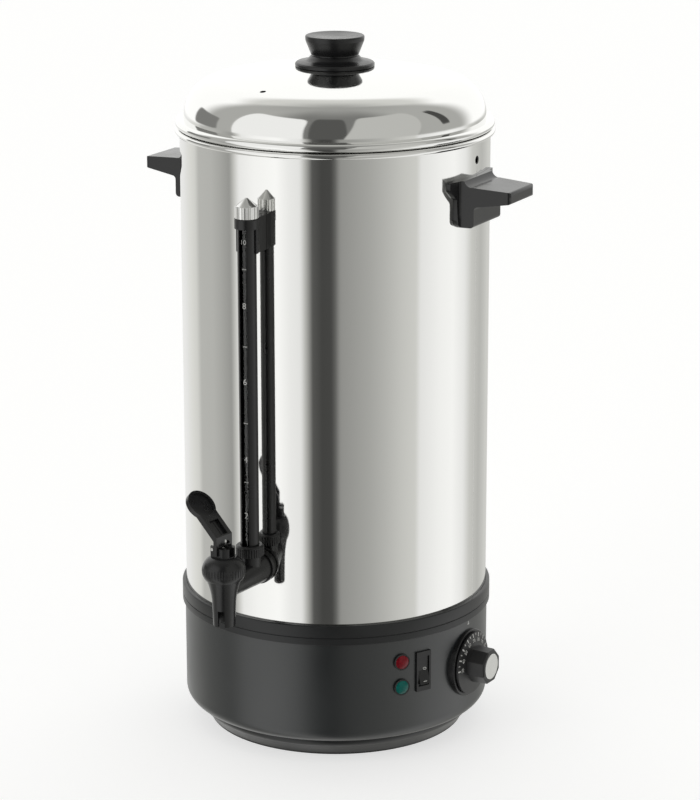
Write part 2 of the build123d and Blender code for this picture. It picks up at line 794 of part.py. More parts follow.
# ---- Handles: winged back plate on the wall, leg, and a ledge that tapers to its tip ----
handle_back_radius = tank_radius + seat_gap
handle_plate_radius = handle_back_radius + handle_plate_thickness
handle_tip = tank_radius + handle_reach
handle_leg_radius = tank_radius + handle_leg_thickness
handle_bottom = handle_top - handle_leg_height
handle_tip_top = handle_top - handle_slope * handle_reach
handle_tip_bottom = handle_tip_top - handle_tip_thickness
handle_underside = handle_top - handle_ledge_drop
handle_plate_top = handle_top + handle_plate_rise
handle_blend_radius = handle_plate_radius + handle_blend
handle_blend_height = handle_top - handle_slope * (handle_blend_radius - tank_radius)
handle_core_radius = tank_radius - handle_corner_radius
wing_bottom = handle_plate_top - handle_wing_height
shoulder_bottom = handle_top - handle_shoulder_drop
with BuildPart() as handle_ledge:
    # Leg and ledge from the side, with a hollow blend up to the back plate.
    with BuildSketch(Plane.XZ) as handle_side:
        with BuildLine():
            Line((handle_core_radius, handle_plate_top), (handle_plate_radius, handle_plate_top))
            ThreePointArc(
                (handle_plate_radius, handle_plate_top),
                (
                    handle_plate_radius + handle_blend / 3,
                    handle_blend_height + (handle_plate_top - handle_blend_height) / 4,
                ),
                (handle_blend_radius, handle_blend_height),
            )
            Polyline(
                (handle_blend_radius, handle_blend_height),
                (handle_tip, handle_tip_top),
                (handle_tip, handle_tip_bottom),
                (handle_leg_radius, handle_underside),
                (handle_leg_radius, handle_bottom),
                (handle_core_radius, handle_bottom),
                (handle_core_radius, handle_plate_top),
            )
        make_face()
        fillet(handle_side.vertices().group_by(Axis.X)[-1], handle_tip_round)
        for corner_height in (handle_underside, handle_bottom):
            corners = handle_side.vertices().sort_by_distance((handle_leg_radius, corner_height, 0))
            fillet(corners[0], handle_leg_round)
    extrude(amount=handle_wing_half_width, both=True)
    with BuildSketch(Plane.XY.offset(handle_bottom - handle_ledge_drop)) as handle_plan:
        with BuildLine():
            Polyline(
                (handle_core_radius, -handle_root_half_width),
                (tank_radius, -handle_root_half_width),
                (handle_tip, -handle_tip_half_width),
                (handle_tip, handle_tip_half_width),
                (tank_radius, handle_root_half_width),
                (handle_core_radius, handle_root_half_width),
                close=True,
            )
        make_face()
        fillet(handle_plan.vertices().group_by(Axis.X)[-1], handle_plan_round)
    extrude(amount=2 * handle_leg_height + handle_ledge_drop, mode=Mode.INTERSECT)

with BuildPart() as handle_right:
    # The back plate is cut from a ring that hugs the tank.
    with BuildSketch(wall_plane(90, 0, 0)) as plate_face:
        with BuildLine():
            Polyline(
                (-handle_wing_half_width, handle_plate_top),
                (handle_wing_half_width, handle_plate_top),
                (handle_wing_half_width, wing_bottom),
                (handle_plate_half_width, shoulder_bottom),
                (handle_plate_half_width, handle_bottom),
                (-handle_plate_half_width, handle_bottom),
                (-handle_plate_half_width, shoulder_bottom),
                (-handle_wing_half_width, wing_bottom),
                close=True,
            )
        make_face()
        fillet(plate_face.vertices().group_by(Axis.Y)[0], handle_corner_radius)
        fillet(plate_face.vertices().group_by(Axis.Y)[-1], handle_plate_round)
    extrude(amount=handle_tip)
    with Locations((0, 0, handle_top)):
        Cylinder(handle_plate_radius, 4 * handle_reach, mode=Mode.INTERSECT)
    add(handle_ledge.part)
    with Locations((0, 0, handle_top)):
        Cylinder(handle_back_radius, 4 * handle_reach, mode=Mode.SUBTRACT)
    for screw_height in handle_screw_heights:
        with BuildSketch(wall_plane(90, 0, screw_height)):
            Circle(handle_screw_radius + running_gap)
        extrude(amount=head_seat_radius + handle_screw_length + running_gap, mode=Mode.SUBTRACT)

with BuildPart() as handle_left:
    add(handle_right.part.mirror(Plane.YZ))

# ---- Handle screws and sealing washers, put in from inside the tank ----
seal_radius = seal_ratio * handle_screw_radius
handle_screw_head_radius = screw_head_ratio * handle_screw_radius
handle_screw_seats = [
    wall_plane(azimuth, head_seat_radius, height)
    for azimuth in (90, -90)
    for height in handle_screw_heights
]
with BuildPart() as handle_seals:
    with Locations(*handle_screw_seats):
        Cylinder(seal_radius, seal_thickness * 2, align=FRONT)
        Cylinder(handle_screw_radius + running_gap, seal_thickness * 4, mode=Mode.SUBTRACT)
    with Locations((0, 0, handle_top)):
        Cylinder(tank_inner_radius - running_gap, handle_reach * 4, mode=Mode.INTERSECT)

with BuildPart() as handle_screws:
    with Locations(*handle_screw_seats):
        Cylinder(handle_screw_radius, handle_screw_length, align=FRONT)
        Cylinder(handle_screw_head_radius, screw_head_thickness, align=BEHIND)

# ---- Tap body: spout, valve chamber, barrel, gauge boss, flange and shank ----
spout_y = -(tank_radius + spout_reach)
spout_axis = Axis((0, spout_y, 0), (0, 0, 1))
spout_plane = Plane.XZ.offset(-spout_y)
chamber_rim = tap_height + chamber_top
spout_shoulder = tap_height + spout_shoulder_rise
spout_end = tap_height - spout_drop
chamber_floor = tap_height - chamber_floor_drop
gauge_radius = tank_radius + gauge_reach
gauge_y = -gauge_radius
boss_top = tap_height + gauge_boss_height
flange_back = tank_radius + tap_seal_thickness
shank_end = tank_radius - shank_length
notch_out = outward(spout_notch_azimuth)
notch_plane = Plane(
    origin=(0, spout_y, spout_end),
    x_dir=(-notch_out.Y, notch_out.X, 0),
    z_dir=(notch_out.X, notch_out.Y, 0),
)
with BuildPart() as tap_body:
    with BuildSketch(spout_plane):
        with BuildLine():
            Line((0, spout_end), (spout_end_radius, spout_end))
            Line((spout_end_radius, spout_end), (spout_neck_radius, spout_shoulder - spout_neck_drop))
            ThreePointArc(
                (spout_neck_radius, spout_shoulder - spout_neck_drop),
                (spout_waist_radius, spout_shoulder - spout_waist_drop),
                (spout_top_radius, spout_shoulder),
            )
            Polyline(
                (spout_top_radius, spout_shoulder),
                (chamber_neck_radius, spout_shoulder),
                (chamber_neck_radius, chamber_rim),
                (0, chamber_rim),
                (0, spout_end),
            )
        make_face()
    revolve(axis=spout_axis)
    # The barrel narrows from the flange to the valve chamber.
    with BuildSketch(wall_plane(0, flange_back, tap_height)):
        Circle(barrel_radius)
    with BuildSketch(wall_plane(0, tank_radius + barrel_end_reach, tap_height - barrel_end_drop)):
        Circle(barrel_end_radius)
    loft()
    with BuildSketch(wall_plane(0, tank_radius + barrel_end_reach, tap_height - barrel_end_drop)):
        Circle(barrel_end_radius)
    extrude(amount=spout_reach - barrel_end_reach - chamber_radius / 2)
    with BuildSketch(wall_plane(0, flange_back, tap_height)):
        Circle(tap_flange_radius)
    extrude(amount=tap_flange_thickness)
    with BuildSketch(wall_plane(0, shank_end, tap_height)):
        Circle(shank_radius)
    extrude(amount=flange_back - shank_end)
    with Locations((0, gauge_y, tap_height)):
        Cylinder(gauge_boss_radius, gauge_boss_height, align=FRONT)
    # Waterways: shank and barrel, chamber, spout and gauge boss.
    with BuildSketch(wall_plane(0, shank_end, tap_height)):
        Circle(barrel_bore_radius)
    extrude(amount=spout_reach + shank_length, mode=Mode.SUBTRACT)
    with Locations((0, spout_y, chamber_floor)):
        Cylinder(chamber_radius, chamber_rim - chamber_floor, align=FRONT, mode=Mode.SUBTRACT)
        Cylinder(spout_bore_radius, chamber_floor - spout_end, align=BEHIND, mode=Mode.SUBTRACT)
    with Locations((0, gauge_y, tap_height)):
        Cylinder(gauge_bore_radius, gauge_boss_height, align=FRONT, mode=Mode.SUBTRACT)
    with Locations((0, gauge_y, boss_top)):
        Cylinder(gauge_tube_radius + slip_gap, gauge_socket_depth, align=BEHIND, mode=Mode.SUBTRACT)
    with BuildSketch(notch_plane):
        with Locations((0, spout_notch_height / 2)):
            Rectangle(spout_notch_width, spout_notch_height)
    extrude(amount=spout_top_radius, mode=Mode.SUBTRACT)

# ---- Tap seals and nut ----
with BuildPart() as tap_seal_outer:
    with BuildSketch(wall_plane(0, shank_end, tap_height)):
        Circle(tap_seal_radius)
        Circle(shank_radius + slip_gap, mode=Mode.SUBTRACT)
    extrude(amount=flange_back - running_gap - shank_end)
    with Locations((0, 0, tap_height)):
        Cylinder(tank_radius + running_gap, tap_flange_radius * 4, mode=Mode.SUBTRACT)

nut_face = tank_inner_radius - tap_seal_thickness - tap_nut_gap
with BuildPart() as tap_seal_inner:
    with BuildSketch(wall_plane(0, nut_face + running_gap, tap_height)):
        Circle(tap_seal_radius)
        Circle(shank_radius + slip_gap, mode=Mode.SUBTRACT)
    extrude(amount=tank_radius - nut_face)
    with Locations((0, 0, tap_height)):
        Cylinder(tank_inner_radius - running_gap, tap_flange_radius * 4, mode=Mode.INTERSECT)

with BuildPart() as tap_nut:
    with BuildSketch(wall_plane(0, nut_face, tap_height)):
        RegularPolygon(tap_nut_flats / sqrt(3), 6)
        Circle(shank_radius + running_gap, mode=Mode.SUBTRACT)
    extrude(amount=-tap_nut_thickness)

# ---- Bonnet: fluted ball nut over the chamber, with the lever's yoke on top ----
# Bonnet and lever are drawn with the lever over the spout and then turned together
# about the spout to where the nut is tight.
bonnet_bottom = spout_shoulder + running_gap
bonnet_middle = tap_height + bonnet_ball_height
bonnet_height = tap_height + bonnet_top
bonnet_ceiling = bonnet_height - bonnet_wall
yoke_floor = bonnet_height + yoke_floor_rise
yoke_top = bonnet_height + yoke_height
yoke_y = spout_y - yoke_offset
pivot_height = yoke_floor + pivot_above_yoke_floor
pivot_y = spout_y - pivot_offset
bonnet_thread = chamber_neck_radius + running_gap
with BuildPart() as tap_bonnet:
    with BuildSketch(spout_plane):
        with BuildLine():
            Line((bonnet_thread, bonnet_bottom), (bonnet_lip_radius, bonnet_bottom))
            ThreePointArc(
                (bonnet_lip_radius, bonnet_bottom),
                (bonnet_radius, bonnet_middle),
                (bonnet_neck_radius, bonnet_height),
            )
            Polyline(
                (bonnet_neck_radius, bonnet_height),
                (0, bonnet_height),
                (0, bonnet_ceiling),
                (chamber_radius, bonnet_ceiling),
                (chamber_radius, chamber_rim + running_gap),
                (bonnet_thread, chamber_rim + running_gap),
                (bonnet_thread, bonnet_bottom),
            )
        make_face()
    revolve(axis=spout_axis)
    # Flutes for the fingers round the widest part.
    with BuildSketch(Plane.XY.offset(bonnet_bottom)):
        with Locations((0, spout_y)):
            with PolarLocations(bonnet_radius + bonnet_flute_radius / 3, bonnet_flute_count):
                Circle(bonnet_flute_radius)
    extrude(amount=bonnet_flute_height, mode=Mode.SUBTRACT)
    # Yoke: a round block with two flats, a slot across it and the pin's hole through both ears.
    with BuildSketch(Plane.XY.offset(bonnet_ceiling + bonnet_wall / 2)):
        with Locations((0, yoke_y)):
            Circle(yoke_radius)
            Rectangle(yoke_width, 2 * yoke_radius, mode=Mode.INTERSECT)
    extrude(amount=yoke_top - bonnet_ceiling - bonnet_wall / 2)
    with Locations((0, spout_y, yoke_floor)):
        Box(yoke_slot_width, 4 * yoke_radius, yoke_height, align=FRONT, mode=Mode.SUBTRACT)
        Cylinder(stem_radius + running_gap, 8 * bonnet_wall, mode=Mode.SUBTRACT)
    with BuildSketch(Plane.YZ):
        with Locations((pivot_y, pivot_height)):
            Circle(lever_pin_radius + running_gap)
    extrude(amount=yoke_width, both=True, mode=Mode.SUBTRACT)

# ---- Lever pin, fast in the yoke's ears ----
with BuildPart() as lever_pin:
    with BuildSketch(Plane.YZ.offset(-yoke_width / 2)):
        with Locations((pivot_y, pivot_height)):
            Circle(lever_pin_radius)
    extrude(amount=yoke_width)

# ---- Lever: dished paddle, trough-shaped arm, foot with cheeks, neck on the pin, fork ----
arm_along = Vector(0, -cos(radians(lever_arm_angle)), sin(radians(lever_arm_angle)))
arm_up = Vector(0, sin(radians(lever_arm_angle)), cos(radians(lever_arm_angle)))
arm_start = Vector(0, pivot_y + lever_arm_inset, pivot_height + lever_arm_rise)
arm_top = Plane(arm_start + arm_up * lever_arm_thickness / 2, x_dir=(-1, 0, 0), z_dir=arm_up)
lever_neck_width = yoke_slot_width - 3 * slip_gap
fork_prong_width = (lever_neck_width - lever_fork_gap) / 2
fork_top = pivot_height - lever_fork_below_pin
sill_bottom = yoke_top + lever_sill_gap
sill_top = sill_bottom + lever_sill_height
cheek_bottom = yoke_floor + lever_cheek_gap
foot_back = pivot_y + lever_arm_inset
foot_front = foot_back - lever_foot_depth
foot_middle = (foot_back + foot_front) / 2
sill_middle = (sill_bottom + sill_top) / 2
neck_front = pivot_y - lever_neck_half_depth
neck_back = pivot_y + lever_neck_half_depth
with BuildPart() as tap_lever:
    with BuildSketch(arm_top):
        with Locations((0, lever_arm_length / 2 - lever_paddle_radius / 2)):
            Rectangle(lever_arm_width, lever_arm_length)
    extrude(amount=-lever_arm_thickness)
    # The foot drops from the arm's end, and its cheeks run down the yoke's flats.
    with BuildSketch(Plane.XY.offset(cheek_bottom)):
        with Locations((0, foot_middle)):
            Rectangle(lever_arm_width, lever_foot_depth)
    extrude(amount=arm_start.Z - cheek_bottom)
    with Locations((0, foot_back, pivot_height)):
        Box(
            2 * lever_arm_width,
            4 * yoke_radius,
            4 * yoke_height,
            align=(Align.CENTER, Align.MIN, Align.CENTER),
            mode=Mode.SUBTRACT,
        )
    with Locations((0, foot_back, sill_bottom)):
        Box(
            yoke_width + 4 * slip_gap,
            4 * yoke_radius,
            2 * yoke_height,
            align=BEHIND,
            mode=Mode.SUBTRACT,
        )
    # Arched window through the foot, over its sill.
    with BuildSketch(Plane.XZ.offset(-foot_back)):
        with BuildLine():
            Polyline(
                (-lever_window_width / 2, sill_top + lever_window_height / 3),
                (-lever_window_width / 2, sill_top),
                (lever_window_width / 2, sill_top),
                (lever_window_width / 2, sill_top + lever_window_height / 3),
            )
            ThreePointArc(
                (lever_window_width / 2, sill_top + lever_window_height / 3),
                (0, sill_top + lever_window_height),
                (-lever_window_width / 2, sill_top + lever_window_height / 3),
            )
        make_face()
    extrude(amount=2 * lever_foot_depth, mode=Mode.SUBTRACT)
    with BuildSketch(arm_top):
        with Locations((0, lever_arm_length)):
            Circle(lever_paddle_radius)
    extrude(amount=-lever_paddle_thickness)
    with BuildSketch(arm_top):
        with Locations((0, lever_arm_length)):
            Circle(lever_dish_radius)
    extrude(amount=-lever_dish_depth, mode=Mode.SUBTRACT)
    with BuildSketch(arm_top):
        with Locations((0, lever_channel_centre)):
            Rectangle(lever_channel_width, lever_channel_length)
    extrude(amount=-lever_channel_depth, mode=Mode.SUBTRACT)
    # Shallow groove down the trough for the white line.
    with BuildSketch(arm_top):
        with Locations((0, lever_channel_centre)):
            Rectangle(lever_line_width, lever_line_length)
    extrude(amount=-lever_channel_depth - lever_line_depth, mode=Mode.SUBTRACT)
    # Neck from the pin up to the arm's underside.
    with BuildSketch(Plane.YZ):
        with Locations((pivot_y, pivot_height)):
            Circle(lever_hub_radius)
        with BuildLine():
            Polyline(
                (neck_front, pivot_height),
                (neck_front, pivot_height + lever_neck_rise),
                (foot_middle, arm_start.Z),
                (foot_middle, sill_middle),
                (neck_back, sill_middle),
                (neck_back, pivot_height),
                close=True,
            )
        make_face()
    extrude(amount=lever_neck_width / 2, both=True)
    with BuildSketch(Plane.XY.offset(fork_top)):
        with Locations((0, pivot_y + lever_fork_length / 2)):
            with GridLocations(lever_fork_gap + fork_prong_width, 0, 2, 1):
                Rectangle(fork_prong_width, lever_fork_length)
    extrude(amount=-lever_fork_thickness)
    with BuildSketch(Plane.YZ):
        with Locations((pivot_y, pivot_height)):
            Circle(lever_pin_radius + running_gap)
    extrude(amount=yoke_width, both=True, mode=Mode.SUBTRACT)

# ---- Stem, seat cup and spring ----
cup_bottom = chamber_floor + running_gap
cup_top = cup_bottom + seat_cup_height
stem_flange_top = cup_top + stem_flange_height
stem_head_bottom = fork_top + 2 * slip_gap
stem_guide_top = yoke_floor - stem_guide_drop
with BuildPart() as tap_stem:
    with BuildSketch(spout_plane):
        with BuildLine():
            Polyline(
                (0, cup_top - stem_stud_length),
                (stem_neck_radius, cup_top - stem_stud_length),
                (stem_neck_radius, cup_top),
                (stem_flange_radius, cup_top),
                (stem_flange_radius, stem_flange_top),
                (stem_radius, stem_flange_top),
                (stem_radius, stem_guide_top),
                (stem_neck_radius, stem_guide_top),
                (stem_neck_radius, stem_head_bottom),
                (stem_head_radius, stem_head_bottom),
                (stem_head_radius, stem_head_bottom + stem_head_height),
                (0, stem_head_bottom + stem_head_height),
                close=True,
            )
        make_face()
    revolve(axis=spout_axis)

cup_edge_radius = seat_cup_radius - spring_wire_radius
with BuildPart() as seat_cup:
    with BuildSketch(spout_plane):
        with BuildLine():
            Line((0, cup_bottom), (cup_edge_radius, cup_bottom))
            Line((cup_edge_radius, cup_bottom), (seat_cup_radius, cup_bottom + seat_cup_height / 3))
            Line((seat_cup_radius, cup_bottom + seat_cup_height / 3), (seat_cup_radius, cup_top))
            Polyline(
                (seat_cup_radius, cup_top),
                (stem_neck_radius + running_gap, cup_top),
                (stem_neck_radius + running_gap, cup_top - stem_stud_length - running_gap),
                (0, cup_top - stem_stud_length - running_gap),
                (0, cup_bottom),
            )
        make_face()
    revolve(axis=spout_axis)

spring_bottom = stem_flange_top + spring_wire_radius + running_gap
spring_top = bonnet_ceiling - spring_wire_radius - running_gap
with BuildPart() as tap_spring:
    with BuildLine(Plane((0, spout_y, spring_bottom))) as spring_path:
        Helix((spring_top - spring_bottom) / spring_turns, spring_top - spring_bottom, spring_radius)
    with BuildSketch(Plane(spring_path.line @ 0, z_dir=spring_path.line % 0)):
        Circle(spring_wire_radius)
    sweep(path=spring_path.line, is_frenet=True)

# ---- Level gauge: nut, seal, clear tube, shield, bracket and cap ----
gauge_axis = Axis((0, gauge_y, 0), (0, 0, 1))
gauge_plane = Plane.XZ.offset(gauge_radius)
nut_top = boss_top + gauge_nut_overhang
nut_bottom = nut_top - gauge_nut_height
seal_bottom = boss_top + running_gap
shield_bottom = seal_bottom + gauge_seal_thickness
with BuildPart() as gauge_nut:
    with BuildSketch(gauge_plane):
        with BuildLine():
            Polyline(
                (gauge_boss_radius + running_gap, nut_bottom),
                (gauge_nut_radius - gauge_nut_bevel, nut_bottom),
                (gauge_nut_radius, nut_bottom + gauge_nut_bevel),
                (gauge_nut_radius, nut_top - gauge_nut_shoulder),
                (gauge_nut_radius - gauge_nut_shoulder, nut_top),
                (gauge_shield_radius + slip_gap, nut_top),
                (gauge_shield_radius + slip_gap, shield_bottom),
                (gauge_boss_radius + running_gap, shield_bottom),
                close=True,
            )
        make_face()
    revolve(axis=gauge_axis)
    with BuildSketch(Plane.XY.offset(nut_bottom)):
        with Locations((0, gauge_y)):
            with PolarLocations(gauge_nut_radius + gauge_nut_flute_radius / 3, gauge_nut_flute_count):
                Circle(gauge_nut_flute_radius)
    extrude(amount=gauge_nut_height - gauge_nut_plain_band, mode=Mode.SUBTRACT)

with BuildPart() as gauge_seal:
    with BuildSketch(Plane.XY.offset(seal_bottom)):
        with Locations((0, gauge_y)):
            Circle(gauge_boss_radius - slip_gap)
            Circle(gauge_tube_radius + running_gap, mode=Mode.SUBTRACT)
    extrude(amount=shield_bottom - seal_bottom - running_gap)

tube_bottom = boss_top - gauge_socket_depth + running_gap
tube_top = gauge_top - running_gap
with BuildPart() as gauge_tube:
    with BuildSketch(Plane.XY.offset(tube_bottom)):
        with Locations((0, gauge_y)):
            Circle(gauge_tube_radius)
            Circle(gauge_tube_radius - gauge_tube_wall, mode=Mode.SUBTRACT)
    extrude(amount=tube_top - tube_bottom)

shield_top = gauge_top - 2 * running_gap - gauge_shield_drop
with BuildPart() as gauge_shield:
    with BuildSketch(Plane.XY.offset(shield_bottom)):
        with Locations((0, gauge_y)):
            Circle(gauge_shield_radius)
            Circle(gauge_shield_radius - gauge_shield_wall, mode=Mode.SUBTRACT)
        with Locations((0, gauge_y - gauge_shield_radius)):
            Rectangle(gauge_window_width, 2 * gauge_shield_radius - 1, mode=Mode.SUBTRACT)
    extrude(amount=shield_top - shield_bottom)

collar_bottom = gauge_top - gauge_collar_height
collar_front_bottom = gauge_top - gauge_collar_front
with BuildPart() as gauge_bracket:
    with BuildSketch(Plane.XY.offset(collar_bottom)):
        with Locations((0, gauge_y)):
            Circle(gauge_collar_radius)
        with Locations((0, -(gauge_radius + tank_radius) / 2)):
            Rectangle(gauge_arm_width, gauge_reach)
    extrude(amount=gauge_collar_height)
    fillet(
        gauge_bracket.edges().filter_by(GeomType.CIRCLE).sort_by(Axis.Z)[0:2],
        (gauge_collar_radius - gauge_shield_radius) / 2,
    )
    # The shield stands in the collar, under a ceiling that only the tube passes.
    with Locations((0, gauge_y, shield_top + running_gap)):
        Cylinder(
            gauge_shield_radius + slip_gap / 2, gauge_collar_height * 2, align=BEHIND, mode=Mode.SUBTRACT
        )
    with Locations((0, gauge_y, gauge_top)):
        Cylinder(gauge_tube_radius + running_gap, gauge_collar_height, mode=Mode.SUBTRACT)
    # The collar's front is cut away below its band.
    with Locations((0, gauge_y, collar_front_bottom)):
        Box(
            gauge_collar_radius * 3,
            gauge_collar_radius * 2,
            gauge_collar_height,
            align=(Align.CENTER, Align.MAX, Align.MAX),
            mode=Mode.SUBTRACT,
        )
    with Locations((0, 0, gauge_top)):
        Cylinder(tank_radius + seat_gap, gauge_collar_height * 3, mode=Mode.SUBTRACT)
    with BuildSketch(wall_plane(0, tank_radius - gauge_reach, bracket_screw_height)):
        Circle(bracket_screw_radius + running_gap)
    extrude(amount=gauge_reach + bracket_screw_length, mode=Mode.SUBTRACT)

bracket_head_radius = screw_head_ratio * bracket_screw_radius
bracket_screw_seat = sqrt(tank_inner_radius**2 - bracket_head_radius**2) - running_gap
with BuildPart() as bracket_screw:
    with Locations(wall_plane(0, bracket_screw_seat, bracket_screw_height)):
        Cylinder(bracket_screw_radius, bracket_screw_length, align=FRONT)
        Cylinder(bracket_head_radius, screw_head_thickness, align=BEHIND)

cap_bottom = gauge_top + running_gap
cap_skirt_top = cap_bottom + gauge_cap_skirt
with BuildPart() as gauge_cap:
    with BuildSketch(Plane.XY.offset(cap_bottom)):
        with Locations((0, gauge_y)):
            Circle(gauge_cap_radius)
            with PolarLocations(gauge_cap_radius + gauge_cap_flute_radius / 2, gauge_cap_flute_count):
                Circle(gauge_cap_flute_radius, mode=Mode.SUBTRACT)
    extrude(amount=gauge_cap_skirt)
    with BuildSketch(Plane.XY.offset(cap_skirt_top)):
        with Locations((0, gauge_y)):
            RegularPolygon(gauge_cap_radius - gauge_cap_flute_radius / 2, gauge_cap_sides)
    with BuildSketch(Plane.XY.offset(cap_skirt_top + gauge_cap_point)):
        with Locations((0, gauge_y)):
            RegularPolygon(gauge_cap_tip_radius, gauge_cap_sides)
    loft()

# ---- Thermostat: body behind the drum, turning shaft, bulb and capillary ----
dial_plane = wall_plane(dial_azimuth, drum_radius, dial_height)
dial_side = side_plane(dial_azimuth, dial_height)
dial_axis = Axis((0, 0, dial_height), dial_side.x_dir)
thermostat_face = drum_radius - drum_wall - thermostat_gap
bush_end = drum_radius + dial_bezel_proud - slip_gap
with BuildPart() as thermostat_body:
    with BuildSketch(wall_plane(dial_azimuth, thermostat_face, dial_height)):
        RectangleRounded(thermostat_width, thermostat_height, thermostat_corner)
    extrude(amount=-thermostat_depth)
    with BuildSketch(wall_plane(dial_azimuth, thermostat_face, dial_height)):
        Circle(shaft_bush_radius)
    extrude(amount=bush_end - thermostat_face)
    with BuildSketch(wall_plane(dial_azimuth, thermostat_face - thermostat_depth, dial_height)):
        with GridLocations(thermostat_width / 2, 0, 2, 1):
            Rectangle(spade_thickness, spade_width)
    extrude(amount=-spade_length)
    with BuildSketch(wall_plane(dial_azimuth, thermostat_face - thermostat_depth / 2, dial_height)):
        Circle(shaft_radius + running_gap)
    extrude(amount=thermostat_depth, mode=Mode.SUBTRACT)
    # The corners clear the drum's curved wall.
    with Locations((0, 0, dial_height)):
        Cylinder(drum_radius - drum_wall - seat_gap, thermostat_height * 2, mode=Mode.INTERSECT)
    with BuildSketch(wall_plane(dial_azimuth, thermostat_face - 1, dial_height)):
        Circle(shaft_bush_radius)
        Circle(shaft_radius + running_gap, mode=Mode.SUBTRACT)
    extrude(amount=bush_end - thermostat_face + 1)

# The bulb lies against the heater plate and its capillary runs down to the body.
bulb_height = heater_underside - running_gap - bulb_radius
capillary_end = outward(dial_azimuth) * (thermostat_face - thermostat_depth / 2)
capillary_foot = dial_height + thermostat_height / 2 + running_gap
with BuildPart() as thermostat_bulb:
    with Locations(Plane((-bulb_length / 2, -bulb_offset, bulb_height), z_dir=(1, 0, 0))):
        Cylinder(bulb_radius, bulb_length, align=FRONT)
    with BuildLine() as capillary_path:
        Spline(
            (bulb_length / 2, -bulb_offset, bulb_height),
            (capillary_end.X - capillary_bend, capillary_end.Y - capillary_bend / 2, bulb_height - capillary_bend),
            (capillary_end.X, capillary_end.Y, capillary_foot),
            tangents=((1, 0, -1), (0, 0, -1)),
        )
    with BuildSketch(Plane(capillary_path.line @ 0, z_dir=capillary_path.line % 0)):
        Circle(capillary_radius)
    sweep(path=capillary_path.line)

# ---- Dial: bezel, knob with skirt and eight-sided grip, end disc ----
bezel_face = drum_radius + dial_bezel_proud
skirt_back = bezel_face + dial_skirt_gap
skirt_edge = skirt_back + dial_skirt_edge
grip_start = skirt_edge + dial_skirt_rise
grip_end = grip_start + dial_grip_length
with BuildPart() as dial_bezel:
    with BuildSketch(dial_plane):
        Circle(dial_bezel_radius)
        Circle(dial_bezel_inner_radius, mode=Mode.SUBTRACT)
    extrude(amount=dial_bezel_proud)
    with BuildSketch(dial_plane):
        Circle(dial_bezel_radius)
        Circle(dial_bezel_inner_radius, mode=Mode.SUBTRACT)
    extrude(amount=-drum_corner / 2)
    with Locations((0, 0, dial_height)):
        Cylinder(drum_radius + running_gap, dial_bezel_radius * 3, mode=Mode.SUBTRACT)
    fillet(
        dial_bezel.faces().sort_by(SortBy.DISTANCE).sort_by(dial_axis)[-1].outer_wire().edges(),
        dial_bezel_proud / 3,
    )

shaft_back = thermostat_face - thermostat_depth / 2 + running_gap
shaft_front = grip_end - dial_grip_length / 3
with BuildPart() as thermostat_shaft:
    with BuildSketch(wall_plane(dial_azimuth, shaft_back, dial_height)):
        Circle(shaft_radius)
    extrude(amount=shaft_front - shaft_back)

with BuildPart() as dial_knob:
    with BuildSketch(dial_side):
        with BuildLine():
            Polyline(
                (skirt_back, 0),
                (skirt_back, dial_skirt_radius),
                (skirt_edge, dial_skirt_radius),
                (grip_start, dial_grip_radius - dial_grip_bevel),
                (grip_start, 0),
                close=True,
            )
        make_face()
    revolve(axis=dial_axis)
    with BuildSketch(wall_plane(dial_azimuth, skirt_edge, dial_height)):
        RegularPolygon(dial_grip_radius, dial_grip_sides, rotation=180 / dial_grip_sides)
    extrude(amount=grip_end - skirt_edge, taper=dial_grip_taper)
    chamfer(dial_knob.faces().sort_by(dial_axis)[-1].edges(), dial_grip_bevel)
    with BuildSketch(wall_plane(dial_azimuth, grip_end - dial_cap_thickness, dial_height)):
        Circle(dial_cap_radius + running_gap)
    extrude(amount=dial_cap_thickness * 2, mode=Mode.SUBTRACT)
    with BuildSketch(wall_plane(dial_azimuth, skirt_back - dial_skirt_gap, dial_height)):
        Circle(shaft_radius + running_gap / 2)
    extrude(amount=shaft_front + running_gap - skirt_back + dial_skirt_gap, mode=Mode.SUBTRACT)

with BuildPart() as dial_cap:
    with BuildSketch(wall_plane(dial_azimuth, grip_end - dial_cap_thickness + running_gap, dial_height)):
        Circle(dial_cap_radius)
    extrude(amount=dial_cap_thickness)

# ---- Rocker switch: housing snapped through the drum, and its rocker ----
frame_face = drum_radius + switch_frame_proud
body_back = drum_radius - switch_body_depth
rocker_slot_width = rocker_width + 2 * rocker_side_gap
rocker_slot_length = rocker_length + 2 * rocker_end_gap
pocket_depth = rocker_depth + rocker_keel + 3 * rocker_end_gap
rocker_pivot = frame_face - rocker_depth
with BuildPart() as switch_housing:
    with BuildSketch(wall_plane(switch_azimuth, body_back, switch_height)):
        Rectangle(switch_width, switch_length)
    extrude(amount=frame_face - body_back)
    with Locations((0, 0, switch_height)):
        Cylinder(drum_radius + running_gap, switch_length * 2, mode=Mode.SUBTRACT)
    with BuildSketch(wall_plane(switch_azimuth, body_back, switch_height)):
        Rectangle(switch_body_width, switch_body_length)
    extrude(amount=frame_face - body_back - switch_frame_proud / 2)
    with BuildSketch(wall_plane(switch_azimuth, frame_face, switch_height)):
        Rectangle(rocker_slot_width, rocker_slot_length)
    extrude(amount=-pocket_depth, mode=Mode.SUBTRACT)
    with BuildSketch(wall_plane(switch_azimuth, body_back, switch_height)):
        with GridLocations(0, switch_body_length / switch_tab_count, 1, switch_tab_count):
            Rectangle(spade_width, spade_thickness)
    extrude(amount=-spade_length)
    with BuildSketch(side_plane(switch_azimuth, switch_height)):
        with Locations((rocker_pivot, 0)):
            Circle(rocker_pin_radius + running_gap)
    extrude(
        amount=rocker_slot_width / 2 + rocker_pin_length + rocker_pin_end_gap,
        both=True,
        mode=Mode.SUBTRACT,
    )

